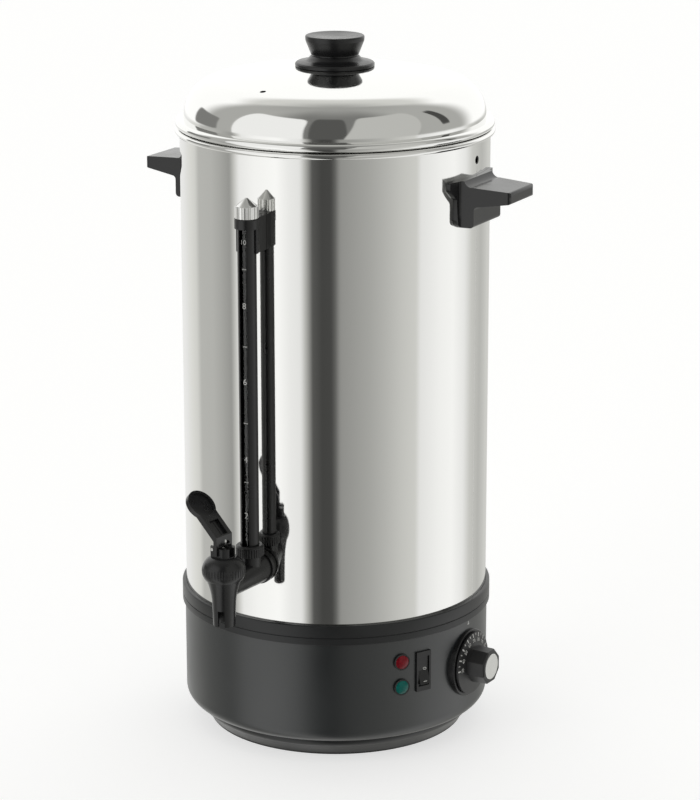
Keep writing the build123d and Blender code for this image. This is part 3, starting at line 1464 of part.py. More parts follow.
rocker_end = rocker_length / 2
rocker_side = side_plane(switch_azimuth, switch_height)
rocker_plane = Plane(
    origin=rocker_side.origin + rocker_side.x_dir * rocker_pivot,
    x_dir=rocker_side.x_dir + rocker_side.y_dir * tan(radians(rocker_tilt)),
    z_dir=rocker_side.z_dir,
)
with BuildPart() as switch_rocker:
    # At rest the upper end is pressed in.
    with BuildSketch(rocker_plane):
        with BuildLine():
            Polyline(
                (rocker_depth + rocker_end_rise, rocker_end),
                (rocker_depth - rocker_valley, 0),
                (rocker_depth + rocker_end_rise, -rocker_end),
                (-rocker_pin_radius, -rocker_end + rocker_end_lean),
                (-rocker_keel, 0),
                (-rocker_pin_radius, rocker_end - rocker_end_lean),
                close=True,
            )
        make_face()
    extrude(amount=rocker_width / 2, both=True)
    with BuildSketch(side_plane(switch_azimuth, switch_height)):
        with Locations((rocker_pivot, 0)):
            Circle(rocker_pin_radius)
    extrude(amount=rocker_slot_width / 2 + rocker_pin_length, both=True)

# ---- Lamps: neon bodies, bezels and domed lenses ----
lamp_planes = [
    wall_plane(lamp_azimuth, drum_radius, height) for height in (red_lamp_height, green_lamp_height)
]
lens_seat = lamp_bezel_proud / 2
lamp_dome_radius = (lamp_lens_radius**2 + lamp_lens_dome**2) / (2 * lamp_lens_dome)
with BuildPart() as lamp_bezels:
    with Locations(*lamp_planes):
        Cylinder(lamp_bezel_radius, lamp_bezel_proud * 2)
    with Locations((0, 0, red_lamp_height)):
        Cylinder(drum_radius + running_gap, dial_bezel_radius * 8, mode=Mode.SUBTRACT)
    with Locations(*lamp_planes):
        Cylinder(lamp_lens_radius + running_gap, lamp_bezel_proud * 6, mode=Mode.SUBTRACT)

with BuildPart() as lamp_bodies:
    with Locations(*lamp_planes):
        Cylinder(lamp_body_radius, lamp_body_depth + lens_seat, align=BEHIND)
    lamp_body_planes = [
        wall_plane(lamp_azimuth, drum_radius - lamp_body_depth, height)
        for height in (red_lamp_height, green_lamp_height)
    ]
    with Locations(*lamp_body_planes):
        with GridLocations(lamp_body_radius, 0, 2, 1):
            Cylinder(lamp_tail_radius, lamp_tail_length * 2)


def lamp_lens(height):
    """Lens of one lamp: a short plug with a shallow dome, seated on the body."""
    back = drum_radius + seat_gap
    edge = drum_radius + lamp_bezel_proud
    with BuildPart() as lens:
        with BuildSketch(side_plane(lamp_azimuth, height)):
            with BuildLine():
                Polyline((back, 0), (back, lamp_lens_radius), (edge, lamp_lens_radius))
                RadiusArc((edge, lamp_lens_radius), (edge + lamp_lens_dome, 0), lamp_dome_radius)
                Line((edge + lamp_lens_dome, 0), (back, 0))
            make_face()
        revolve(axis=Axis((0, 0, height), outward(lamp_azimuth)))
    return lens


red_lamp_lens = lamp_lens(red_lamp_height)
green_lamp_lens = lamp_lens(green_lamp_height)

# ---- Cord gland and its lock nut at the back ----
with BuildPart() as cord_gland:
    with BuildSketch(wall_plane(180, drum_radius - gland_body_depth, gland_height)):
        Circle(gland_radius)
    extrude(amount=gland_body_depth + gland_flange_thickness)
    with BuildSketch(wall_plane(180, drum_radius + running_gap, gland_height)):
        Circle(gland_flange_radius)
    extrude(amount=gland_flange_thickness)
    with BuildSketch(wall_plane(180, drum_radius + gland_flange_thickness, gland_height)):
        Circle(gland_nose_radius)
    extrude(amount=gland_nose_length, taper=gland_nose_taper)
    with BuildSketch(wall_plane(180, drum_radius - gland_body_depth, gland_height)):
        Circle(gland_bore_radius)
    extrude(amount=gland_body_depth * 4, mode=Mode.SUBTRACT)

gland_nut_corner = gland_nut_flats / sqrt(3)
gland_nut_face = sqrt((drum_radius - drum_wall) ** 2 - gland_nut_corner**2) - running_gap
with BuildPart() as gland_nut:
    with BuildSketch(wall_plane(180, gland_nut_face, gland_height)):
        RegularPolygon(gland_nut_corner, 6)
        Circle(gland_radius + running_gap, mode=Mode.SUBTRACT)
    extrude(amount=-gland_nut_thickness)

# ---- Terminal block and earth screw on the bottom plate ----
pole_pitch = terminal_width / terminal_poles
with BuildPart() as terminal_block:
    with BuildSketch(Plane.XY.offset(plate_top)):
        with Locations((0, terminal_reach)):
            Rectangle(terminal_width, terminal_depth)
    extrude(amount=terminal_height)
    with BuildSketch(Plane.XZ.offset(-terminal_reach)):
        with Locations((0, plate_top + terminal_height / 2)):
            with GridLocations(pole_pitch, 0, terminal_poles, 1):
                Circle(terminal_bore_radius)
    extrude(amount=terminal_depth, both=True, mode=Mode.SUBTRACT)
    with BuildSketch(Plane.XY.offset(plate_top + terminal_height)):
        with Locations((0, terminal_reach)):
            with GridLocations(pole_pitch, terminal_depth / 2, terminal_poles, 2):
                Circle(terminal_well_radius)
    extrude(amount=-terminal_height / 3, mode=Mode.SUBTRACT)

with BuildPart() as earth_screw:
    with Locations((earth_screw_offset, terminal_reach, plate_top)):
        Cylinder(earth_screw_radius, earth_screw_length, align=FRONT)
        Cylinder(earth_washer_radius, earth_washer_thickness, align=FRONT)
    with BuildSketch(Plane.XY.offset(plate_top + earth_washer_thickness)):
        with Locations((earth_screw_offset, terminal_reach)):
            RegularPolygon(earth_nut_radius, 6)
    extrude(amount=earth_nut_height)

# ---- Labels and files ----
pieces = {
    "foot_ring": foot_ring,
    "base_drum": base_drum,
    "base_rim": base_rim,
    "bottom_plate": bottom_plate,
    "tie_rods": tie_rods,
    "tie_nuts": tie_nuts,
    "tank_shell": tank_shell,
    "tank_floor": tank_floor,
    "heater_plate": heater_plate,
    "heating_element": heating_element,
    "boil_dry_cutout": boil_dry_cutout,
    "lid_shell": lid_shell,
    "lid_knob": lid_knob,
    "knob_washer": knob_washer,
    "knob_screw": knob_screw,
    "handle_right": handle_right,
    "handle_left": handle_left,
    "handle_seals": handle_seals,
    "handle_screws": handle_screws,
    "tap_body": tap_body,
    "tap_seal_outer": tap_seal_outer,
    "tap_seal_inner": tap_seal_inner,
    "tap_nut": tap_nut,
    "tap_bonnet": tap_bonnet,
    "lever_pin": lever_pin,
    "tap_lever": tap_lever,
    "tap_stem": tap_stem,
    "seat_cup": seat_cup,
    "tap_spring": tap_spring,
    "gauge_nut": gauge_nut,
    "gauge_seal": gauge_seal,
    "gauge_tube": gauge_tube,
    "gauge_shield": gauge_shield,
    "gauge_bracket": gauge_bracket,
    "bracket_screw": bracket_screw,
    "gauge_cap": gauge_cap,
    "thermostat_body": thermostat_body,
    "thermostat_shaft": thermostat_shaft,
    "thermostat_bulb": thermostat_bulb,
    "dial_bezel": dial_bezel,
    "dial_knob": dial_knob,
    "dial_cap": dial_cap,
    "switch_housing": switch_housing,
    "switch_rocker": switch_rocker,
    "lamp_bezels": lamp_bezels,
    "lamp_bodies": lamp_bodies,
    "red_lamp_lens": red_lamp_lens,
    "green_lamp_lens": green_lamp_lens,
    "cord_gland": cord_gland,
    "gland_nut": gland_nut,
    "terminal_block": terminal_block,
    "earth_screw": earth_screw,
}
turned_with_lever = ("tap_bonnet", "lever_pin", "tap_lever")
for node_name, piece in pieces.items():
    shape = piece.part
    if node_name in turned_with_lever:
        shape = shape.rotate(spout_axis, lever_azimuth)
    shape.label = node_name
    export_step(shape, f"parts/{node_name}.step")
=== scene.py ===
import json
from math import cos, pi, radians, sin

import bmesh
import bpy
import numpy as np
from mathutils import Matrix


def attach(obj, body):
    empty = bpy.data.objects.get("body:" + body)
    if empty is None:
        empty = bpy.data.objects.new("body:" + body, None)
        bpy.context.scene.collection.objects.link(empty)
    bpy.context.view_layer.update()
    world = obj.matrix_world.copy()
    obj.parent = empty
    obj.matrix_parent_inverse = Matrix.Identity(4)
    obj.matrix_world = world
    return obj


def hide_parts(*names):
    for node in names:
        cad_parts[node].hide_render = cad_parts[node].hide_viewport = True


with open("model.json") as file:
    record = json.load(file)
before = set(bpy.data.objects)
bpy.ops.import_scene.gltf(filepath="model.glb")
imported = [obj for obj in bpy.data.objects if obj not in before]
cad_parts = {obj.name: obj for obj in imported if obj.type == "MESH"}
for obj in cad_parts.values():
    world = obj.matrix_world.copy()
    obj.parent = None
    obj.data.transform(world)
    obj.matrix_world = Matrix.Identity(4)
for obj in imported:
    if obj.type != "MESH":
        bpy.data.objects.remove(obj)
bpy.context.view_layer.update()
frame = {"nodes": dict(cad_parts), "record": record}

# ---- Camera ----
# A long lens a little above the lid, turned so that the tap is on the left and the
# controls are on the right.
bpy.context.scene.view_settings.view_transform = "Standard"
studio_turn = radians(28.5)
camera_place = (1.0176, -1.8742, 0.8319)
camera_pan = 0.005
camera_dip = 0.269
camera_roll = 0.001
camera = bpy.data.objects.new("camera", bpy.data.cameras.new("camera"))
camera.data.lens = 133.61
camera.matrix_world = (
    Matrix.Translation(camera_place)
    @ Matrix.Rotation(studio_turn - camera_pan, 4, "Z")
    @ Matrix.Rotation(pi / 2 - camera_dip, 4, "X")
    @ Matrix.Rotation(-camera_roll, 4, "Z")
)
bpy.context.scene.collection.objects.link(camera)
bpy.context.scene.camera = camera

# ---- Studio ----
# A white room with two tall soft windows in front of the urn, a dark gap between them and
# a warm grey ceiling. The polished sheet shows it as upright bands.
steel_return = 0.87
warm_grey = 0.955
warm_white = 0.985
near_white = 215


def light_level(shade):
    """Linear light that a polished sheet returns as this 0 to 255 shade.

    It is the screen's curve undone, divided by the share of light that the sheet returns.
    """
    part = shade / 255
    return (((part + 0.055) / 1.055) ** 2.4 if part > 0.04 else part / 12.92) / steel_return


def room_colour(shade):
    """Level of a shade as a slightly warm grey."""
    level = light_level(shade)
    return (level, level, level * (warm_grey if shade < near_white else warm_white), 1)


studio = bpy.data.worlds.new("studio")
bpy.context.scene.world = studio
studio.use_nodes = True
sky = studio.node_tree.nodes
sky_links = studio.node_tree.links
sky.clear()


def sky_math(operation, *inputs):
    """Math node whose inputs are numbers or other nodes' sockets."""
    node = sky.new("ShaderNodeMath")
    node.operation = operation
    for socket, value in zip(node.inputs, inputs):
        if isinstance(value, (int, float)):
            socket.default_value = value
        else:
            sky_links.new(value, socket)
    return node.outputs[0]


def sky_step(value, start, end):
    """Smooth step of a socket from 0 at `start` to 1 at `end`."""
    node = sky.new("ShaderNodeMapRange")
    node.interpolation_type = "SMOOTHSTEP"
    node.inputs["From Min"].default_value = min(start, end)
    node.inputs["From Max"].default_value = max(start, end)
    if start > end:
        node.inputs["To Min"].default_value = 1
        node.inputs["To Max"].default_value = 0
    sky_links.new(value, node.inputs["Value"])
    return node.outputs["Result"]


def sky_mix(mask, below, above):
    """Colour `below` where the mask is 0 and `above` where it is 1."""
    node = sky.new("ShaderNodeMix")
    node.data_type = "RGBA"
    sky_links.new(mask, node.inputs[0])
    for socket, value in ((node.inputs[6], below), (node.inputs[7], above)):
        if isinstance(value, tuple):
            socket.default_value = value
        else:
            sky_links.new(value, socket)
    return node.outputs[2]


direction = sky.new("ShaderNodeTexCoord").outputs["Generated"]
turned_direction = sky.new("ShaderNodeVectorRotate")
turned_direction.rotation_type = "Z_AXIS"
turned_direction.inputs["Angle"].default_value = -studio_turn
sky_links.new(direction, turned_direction.inputs["Vector"])
axes = sky.new("ShaderNodeSeparateXYZ")
sky_links.new(turned_direction.outputs[0], axes.inputs[0])
# Degrees round the urn from the camera's side, and degrees above the level.
around = sky_math(
    "MULTIPLY",
    sky_math("ARCTAN2", axes.outputs["X"], sky_math("MULTIPLY", axes.outputs["Y"], -1)),
    180 / pi,
)
above = sky_math("MULTIPLY", sky_math("ARCSINE", axes.outputs["Z"]), 180 / pi)

# Below the level the room is a row of upright bands: (degrees round, shade).
band_stops = (
    (-178, 228), (-151, 224), (-136, 214), (-127, 205), (-121, 179), (-104, 176), (-95, 166), (-84, 148),
    (-80, 190), (-75, 230), (-62, 242), (-44, 248), (-34, 232), (-26, 226), (-22, 176), (-17, 84),
    (-10, 66), (-3, 68), (0, 96), (3.5, 142), (12, 150), (25, 162), (37, 176), (50, 192), (62, 202),
    (66, 224), (84, 238), (98, 243), (112, 228), (122, 196), (138, 178), (156, 196),
)
bands = sky.new("ShaderNodeValToRGB")
sky_links.new(sky_math("ADD", sky_math("DIVIDE", around, 360), 0.5), bands.inputs["Fac"])
while len(bands.color_ramp.elements) < len(band_stops):
    bands.color_ramp.elements.new(0.5)
for element, (degrees_round, shade) in zip(bands.color_ramp.elements, band_stops):
    element.position = degrees_round / 360 + 0.5
    element.color = room_colour(shade)


window_softness = 16.0


def window(left, right, low, high, lean):
    """Mask of a soft-edged patch between two sides and two heights in degrees; its sides lean.

    Its edge is where the eighth powers of the distances from its middle, each as a share of
    half its size, add up to 1.
    """
    leaned = sky_math("SUBTRACT", around, sky_math("MULTIPLY", above, lean))
    across = sky_math("DIVIDE", sky_math("SUBTRACT", leaned, (left + right) / 2), (right - left) / 2)
    upward = sky_math("DIVIDE", sky_math("SUBTRACT", above, (low + high) / 2), (high - low) / 2)
    powers = [sky_math("POWER", sky_math("ABSOLUTE", part), 8) for part in (across, upward)]
    edge = window_softness / min(right - left, high - low)
    return sky_step(sky_math("ADD", *powers), 1 + edge, 1 - min(edge, 0.9))


# The ceiling darkens from the back wall over the urn to the dark header above the windows.
zenith = room_colour(152)
back_ceiling = sky_mix(sky_step(above, 58, 90), room_colour(205), zenith)
back_wall = sky_mix(sky_step(above, 42, 57), room_colour(252), back_ceiling)
aside = sky_math("ABSOLUTE", around)
header = sky_mix(sky_step(aside, 26, 74), room_colour(116), room_colour(166))
header = sky_mix(sky_step(above, 52, 88), header, zenith)
front_half = sky_step(aside, 130, 108)
room = sky_mix(front_half, back_wall, header)
# Patches in the room: left and right side, low and high edge, lean, shade. They are the gap
# between the windows, the two windows, a post on the right and a low cupboard at the back.
room_patches = (
    (-20, 9, -30, 52, 0.0, 82),
    (-84, -24, -40, 49, 0.0, 234),
    (8, 66, -40, 54, 0.22, 182),
    (89, 97, 8, 42, 0.0, 70),
    (-131, -100, -6, 16, 0.0, 120),
)
for *patch, shade in room_patches:
    room = sky_mix(window(*patch), room, room_colour(shade))
seen_room = sky_mix(sky_step(above, -9, -5), bands.outputs["Color"], room)
plain_white = sky.new("ShaderNodeBackground")
plain_white.inputs["Color"].default_value = (1, 1, 1, 1)
lit_room = sky.new("ShaderNodeBackground")
sky_links.new(seen_room, lit_room.inputs["Color"])
camera_ray = sky.new("ShaderNodeLightPath").outputs["Is Camera Ray"]
room_mix = sky.new("ShaderNodeMixShader")
sky_links.new(camera_ray, room_mix.inputs[0])
sky_links.new(lit_room.outputs[0], room_mix.inputs[1])
sky_links.new(plain_white.outputs[0], room_mix.inputs[2])
sky_output = sky.new("ShaderNodeOutputWorld")
sky_links.new(room_mix.outputs[0], sky_output.inputs["Surface"])

# A pale floor that lights the urn from below. The steel doesn't mirror it, and to the camera it
# glows up to white.
floor_reach = 4.0
floor_paleness = 0.62
floor_lift = 0.62
floor_mesh = bpy.data.meshes.new("floor")
floor_corners = [(floor_reach * x, floor_reach * y, 0) for x, y in ((-1, -1), (1, -1), (1, 1), (-1, 1))]
floor_mesh.from_pydata(floor_corners, [], [(0, 1, 2, 3)])
floor = bpy.data.objects.new("floor", floor_mesh)
bpy.context.scene.collection.objects.link(floor)
floor.visible_glossy = False
floor_paint = bpy.data.materials.new("floor_paint")
floor_paint.use_nodes = True
paint = floor_paint.node_tree
paint.nodes.clear()
matt = paint.nodes.new("ShaderNodeBsdfDiffuse")
matt.inputs["Color"].default_value = (floor_paleness, floor_paleness, floor_paleness, 1)
lift = paint.nodes.new("ShaderNodeEmission")
lift_level = paint.nodes.new("ShaderNodeMath")
lift_level.operation = "MULTIPLY"
lift_level.inputs[1].default_value = floor_lift
paint.links.new(paint.nodes.new("ShaderNodeLightPath").outputs["Is Camera Ray"], lift_level.inputs[0])
paint.links.new(lift_level.outputs[0], lift.inputs["Strength"])
both = paint.nodes.new("ShaderNodeAddShader")
paint.links.new(matt.outputs[0], both.inputs[0])
paint.links.new(lift.outputs[0], both.inputs[1])
floor_output = paint.nodes.new("ShaderNodeOutputMaterial")
paint.links.new(both.outputs[0], floor_output.inputs["Surface"])
floor_mesh.materials.append(floor_paint)

# ---- Foot ring ----
# Moulded black ring that the urn stands on. It leans out to the seam under the drum and has
# a ledge for the vented bottom plate.


def arc(centre_r, centre_h, radius, start, sweep, steps=12):
    """Points of an arc: centre + radius·(cos, sin) of evenly spaced angles, in degrees."""
    angles = np.radians(start + sweep * np.linspace(0, 1, steps + 1))
    return np.stack([centre_r + radius * np.cos(angles), centre_h + radius * np.sin(angles)], axis=1)


def rounded(corners, steps=6, closed=True):
    """Outline through corners (r, h, radius): each becomes an arc that touches both of its sides.

    The arc starts radius / tan(half the corner's angle) from the corner, at most 0.49 of a side.
    """
    table = np.array(corners, float)
    spot = table[:, :2]
    before = np.roll(spot, 1, axis=0) - spot
    after = np.roll(spot, -1, axis=0) - spot
    before_length = np.linalg.norm(before, axis=1, keepdims=True)
    after_length = np.linalg.norm(after, axis=1, keepdims=True)
    before = before / before_length
    after = after / after_length
    if not closed:
        table[[0, -1], 2] = 0
    half = np.arccos(np.clip((before * after).sum(1, keepdims=True), -1, 1)) / 2
    radius = table[:, 2:3]
    longest_reach = 0.49 * np.minimum(before_length, after_length)
    reach = np.minimum(radius / np.tan(half), longest_reach)
    radius = reach * np.tan(half)
    inward = before + after
    inward = inward / np.maximum(np.linalg.norm(inward, axis=1, keepdims=True), 1e-9)
    centre = spot + inward * radius / np.sin(half)
    first = spot + before * reach - centre
    last = spot + after * reach - centre
    turn = np.sign(first[:, :1] * last[:, 1:] - first[:, 1:] * last[:, :1])
    side = np.stack([-first[:, 1], first[:, 0]], axis=1) * turn
    share = (pi - 2 * half) * np.linspace(0, 1, steps + 1)[None, :]
    points = centre[:, None] + np.cos(share)[:, :, None] * first[:, None]
    points = (points + np.sin(share)[:, :, None] * side[:, None]).reshape(-1, 2)
    keep = np.ones(len(points), bool)
    keep[1:] = np.linalg.norm(np.diff(points, axis=0), axis=1) > 1e-5
    return points[keep]


def turned(outline, steps=192):
    """Grid of points: an outline point (r, h) goes to (r·sin a, −r·cos a, h) at every azimuth a."""
    r, h = np.asarray(outline, float).T[:, None, :]
    a = np.linspace(0, 2 * pi, steps, endpoint=False)[:, None]
    return np.stack([r * np.sin(a), -r * np.cos(a), h + 0 * a], axis=-1)


def faced(azimuth, height, points):
    """Moves points (round the wall, up, out from the axis) to their place at an azimuth in degrees."""
    out = np.array([sin(radians(azimuth)), -cos(radians(azimuth)), 0])
    side = np.array([-out[1], out[0], 0])
    up = np.array([0, 0, 1.0])
    points = np.asarray(points, float)
    return points[..., :1] * side + (points[..., 1:2] + height) * up + points[..., 2:3] * out


sharp_corner = radians(32)


def grid_mesh(name, points, wrap=(True, True), weld=False):
    """Mesh of a grid of points in millimetres, joined row to row and column to column.

    It closes on itself where it wraps. Its faces point outwards: they are turned over where the
    enclosed volume comes out negative.
    """
    rows, columns = points.shape[:2]
    i = np.arange(rows if wrap[0] else rows - 1)[:, None]
    j = np.arange(columns if wrap[1] else columns - 1)[None, :]
    here = i * columns + j
    down = (i + 1) % rows * columns + j
    across = i * columns + (j + 1) % columns
    both_ways = (i + 1) % rows * columns + (j + 1) % columns
    quads = np.stack([here, down, both_ways, across], axis=-1).reshape(-1, 4)
    spots = points.reshape(-1, 3) * 0.001
    a, b, c, d = (spots[quads[:, k]] for k in range(4))
    volume = (a * np.cross(b, c)).sum() + (a * np.cross(c, d)).sum()
    if volume < 0:
        quads = quads[:, ::-1]
    mesh = bpy.data.meshes.new(name)
    mesh.vertices.add(len(spots))
    mesh.vertices.foreach_set("co", spots.astype(np.float32).ravel())
    mesh.loops.add(quads.size)
    mesh.loops.foreach_set("vertex_index", quads.astype(np.int32).ravel())
    mesh.polygons.add(len(quads))
    mesh.polygons.foreach_set("loop_start", np.arange(0, quads.size, 4, dtype=np.int32))
    mesh.update(calc_edges=True)
    if weld:
        work = bmesh.new()
        work.from_mesh(mesh)
        bmesh.ops.remove_doubles(work, verts=work.verts, dist=1e-6)
        work.to_mesh(mesh)
        work.free()
    mesh.shade_smooth()
    mesh.set_sharp_from_angle(angle=sharp_corner)
    return mesh


def dress(name, mesh, material, body, slot, *nodes):
    """Puts a mesh in the scene with its material, body and the nodes it stands for; the finish slot is not
    used.
    """
    piece = bpy.data.objects.new(name, mesh)
    bpy.context.scene.collection.objects.link(piece)
    mesh.materials.clear()
    mesh.materials.append(material)
    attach(piece, body)
    if nodes:
        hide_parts(*nodes)
    return piece


def noise_group():
    """Shader group `surface_noise`: a fine and a coarse noise over the piece, each from 0 to 1."""
    group = bpy.data.node_groups.new("surface_noise", "ShaderNodeTree")
    for name, kind, way in (
        ("Vector", "NodeSocketVector", "INPUT"),
        ("Fine Scale", "NodeSocketFloat", "INPUT"),
        ("Coarse Scale", "NodeSocketFloat", "INPUT"),
        ("Fine", "NodeSocketFloat", "OUTPUT"),
        ("Coarse", "NodeSocketFloat", "OUTPUT"),
    ):
        group.interface.new_socket(name=name, in_out=way, socket_type=kind)
    inlet = group.nodes.new("NodeGroupInput")
    outlet = group.nodes.new("NodeGroupOutput")
    for which, detail in (("Fine", 2.0), ("Coarse", 3.0)):
        noise = group.nodes.new("ShaderNodeTexNoise")
        noise.inputs["Detail"].default_value = detail
        group.links.new(inlet.outputs["Vector"], noise.inputs["Vector"])
        group.links.new(inlet.outputs[which + " Scale"], noise.inputs["Scale"])
        group.links.new(noise.outputs["Fac"], outlet.inputs[which])
    return group


surface_noise = noise_group()


def finish(name, dark, light, rough, grain, depth, fine=1600.0, coarse=40.0, **plain):
    """Material whose colour and roughness drift between two ends with a coarse noise.

    `grain` sets how much of its relief is fine noise; `depth` is the relief in metres. `plain`
    holds further inputs of the shader by name.
    """
    material = bpy.data.materials.new(name)
    material.use_nodes = True
    tree = material.node_tree
    shader = tree.nodes["Principled BSDF"]
    place = tree.nodes.new("ShaderNodeTexCoord")
    noise = tree.nodes.new("ShaderNodeGroup")
    noise.node_tree = surface_noise
    noise.inputs["Fine Scale"].default_value = fine
    noise.inputs["Coarse Scale"].default_value = coarse
    tree.links.new(place.outputs["Object"], noise.inputs["Vector"])
    colour = tree.nodes.new("ShaderNodeMix")
    colour.data_type = "RGBA"
    colour.inputs[6].default_value = (*dark, 1)
    colour.inputs[7].default_value = (*light, 1)
    tree.links.new(noise.outputs["Coarse"], colour.inputs[0])
    tree.links.new(colour.outputs[2], shader.inputs["Base Color"])
    # Most of a noise lies between 0.3 and 0.7, which become the two ends of the roughness.
    dullness = tree.nodes.new("ShaderNodeMapRange")
    dullness.inputs["From Min"].default_value = 0.3
    dullness.inputs["From Max"].default_value = 0.7
    dullness.inputs["To Min"].default_value = rough[0]
    dullness.inputs["To Max"].default_value = rough[1]
    tree.links.new(noise.outputs["Coarse"], dullness.inputs["Value"])
    tree.links.new(dullness.outputs["Result"], shader.inputs["Roughness"])
    relief = tree.nodes.new("ShaderNodeMix")
    relief.inputs[0].default_value = grain
    tree.links.new(noise.outputs["Coarse"], relief.inputs[2])
    tree.links.new(noise.outputs["Fine"], relief.inputs[3])
    bump = tree.nodes.new("ShaderNodeBump")
    bump.inputs["Strength"].default_value = 1.0
    bump.inputs["Distance"].default_value = depth
    tree.links.new(relief.outputs[0], bump.inputs["Height"])
    tree.links.new(bump.outputs["Normal"], shader.inputs["Normal"])
    for socket, value in plain.items():
        shader.inputs[socket.replace("_", " ")].default_value = value
    return material


moulded_black = finish(
    "moulded_black",
    (0.012, 0.013, 0.014),
    (0.020, 0.021, 0.023),
    (0.30, 0.40),
    0.8,
    0.00002,
    fine=1500.0,
)
foot_inner = 93.0
foot_radius = 96.0
foot_seam_radius = 104.4
foot_height = 14.6
flare_centre = (97.3, 14.3)
flare_radius = 7.2
plate_seat = 100.2
plate_ledge = 88.0
plate_ledge_height = 11.6
foot_outline = np.concatenate(
    [
        rounded(
            [(foot_inner, 0.0, 0.4), (foot_radius, 0.0, 0.9), (foot_radius + 0.05, 1.2, 0.0)],
            closed=False,
        ),
        arc(*flare_centre, flare_radius, -62, 62, 10)[:-1],
        rounded(
            [
                (foot_seam_radius, foot_height - 0.7, 0.0),
                (foot_seam_radius, foot_height, 0.4),
                (plate_ledge, foot_height, 0.2),
                (plate_ledge, plate_ledge_height, 0.0),
                (plate_seat, plate_ledge_height, 0.2),
                (foot_inner, 1.0, 0.0),
            ],
            closed=False,
        ),
    ]
)
foot_mesh = grid_mesh("foot_ring_moulding", turned(foot_outline))
dress("foot_ring_moulding", foot_mesh, moulded_black, "base", "base_plastic", "foot_ring")

# ---- Base drum ----
# Pressed steel drum round the heater and the controls, painted satin black. Its lower edge
# is drawn in to a flange that the tie rods clamp to the foot.
drum_black = finish(
    "drum_black",
    (0.011, 0.014, 0.016),
    (0.017, 0.021, 0.023),
    (0.28, 0.36),
    0.85,
    0.000010,
    fine=900.0,
    coarse=18.0,
    Specular_IOR_Level=1.0,
)
drum_radius = 114.0
drum_wall = 1.2
drum_corner = 12.0
drum_top = 96.0
drum_flange = 94.0
drum_outline = rounded(
    [
        (drum_flange, foot_height, 0.3),
        (drum_radius, foot_height, drum_corner),
        (drum_radius, drum_top, 0.4),
        (drum_radius - drum_wall, drum_top, 0.3),
        (drum_radius - drum_wall, foot_height + drum_wall, drum_corner - drum_wall),
        (drum_flange, foot_height + drum_wall, 0.3),
    ],
    steps=14,
)
drum_mesh = grid_mesh("drum_sheet", turned(drum_outline, 256))
dress("drum_sheet", drum_mesh, drum_black, "base", "drum_paint", "base_drum")

# ---- Base rim ----
# Moulded ring that joins the drum to the tank: a skirt over the drum, a fine groove at
# mid height and a collar round the tank's foot.
rim_radius = 116.0
rim_bottom = 92.0
rim_top = 106.6
rim_skirt_inner = 114.1
rim_collar_inner = 113.1
rim_ledge = 109.0
tank_bottom = 98.0
groove_radius = 115.5
groove_heights = (97.1, 97.3, 97.9, 98.1)
rim_outline = rounded(
    [
        (rim_skirt_inner, rim_bottom, 0.2),
        (rim_radius, rim_bottom, 0.5),
        (rim_radius, groove_heights[0], 0.15),
        (groove_radius, groove_heights[1], 0.1),
        (groove_radius, groove_heights[2], 0.1),
        (rim_radius, groove_heights[3], 0.15),
        (rim_radius, rim_top, 0.95),
        (rim_collar_inner, rim_top, 0.2),
        (rim_collar_inner, tank_bottom, 0.0),
        (rim_ledge, tank_bottom, 0.0),
        (rim_ledge, drum_top, 0.0),
        (rim_skirt_inner, drum_top, 0.0),
    ]
)
rim_mesh = grid_mesh("rim_moulding", turned(rim_outline, 256))
dress("rim_moulding", rim_mesh, moulded_black, "base", "base_plastic", "base_rim")

# ---- Tank shell ----
# Stainless sheet rolled into a tube, welded up the right side and polished to a mirror, with
# its mouth rolled outwards into a bead. A small overflow hole lies under the bead.
polished = finish(
    "polished",
    (0.86, 0.86, 0.845),
    (0.885, 0.885, 0.875),
    (0.045, 0.075),
    0.02,
    0.00003,
    fine=2400.0,
    coarse=9.0,
    Metallic=1.0,
)
tank_radius = 113.0
tank_inner = 112.2
bead_centre = 114.3
bead_height = 449.2
bead_radius = 2.1
bead_bore = 1.3
wall_middle = (tank_radius + tank_inner) / 2
tank_outline = np.concatenate(
    [
        np.stack([np.full(8, tank_inner), np.linspace(tank_bottom, bead_height, 9)[:-1]], axis=1),
        arc(bead_centre, bead_height, bead_radius, 180, -290, 24),
        arc(bead_centre, bead_height, bead_bore, -110, 290, 16),
        np.stack([np.full(12, tank_radius), np.linspace(bead_height - 0.2, tank_bottom, 12)], axis=1),
    ]
)


def drill_mesh(centre, along, radius, length):
    """Closed rod of 32 sides round `centre`, carried both ways along a direction.

    A point is centre + travel·along + radius·(cos a·side + sin a·other), with side and other
    square to along.
    """
    along = np.array(along, float)
    side = np.cross(along, [0.3, 0.5, 0.81])
    side = side / np.linalg.norm(side)
    other = np.cross(along, side)
    a = np.linspace(0, 2 * pi, 32, endpoint=False)[None, :, None]
    reach = np.array([0.0, radius, radius, 0.0])[:, None, None]
    travel = np.array([-length, -length, length, length])[:, None, None]
    points = np.array(centre) + travel * along + reach * (np.cos(a) * side + np.sin(a) * other)
    return grid_mesh("drill", points, (False, True), weld=True)


def drilled(mesh, drill):
    """The mesh with a drill's shape cut out of it, as one plain mesh."""
    blank = bpy.data.objects.new("blank", mesh)
    tool = bpy.data.objects.new("tool", drill)
    for thing in (blank, tool):
        bpy.context.scene.collection.objects.link(thing)
    cut = blank.modifiers.new("cut", "BOOLEAN")
    cut.operation = "DIFFERENCE"
    cut.object = tool
    result = bpy.data.meshes.new_from_object(blank.evaluated_get(bpy.context.evaluated_depsgraph_get()))
    bpy.data.objects.remove(blank)
    bpy.data.objects.remove(tool)
    result.shade_smooth()
    result.set_sharp_from_angle(angle=sharp_corner)
    return result


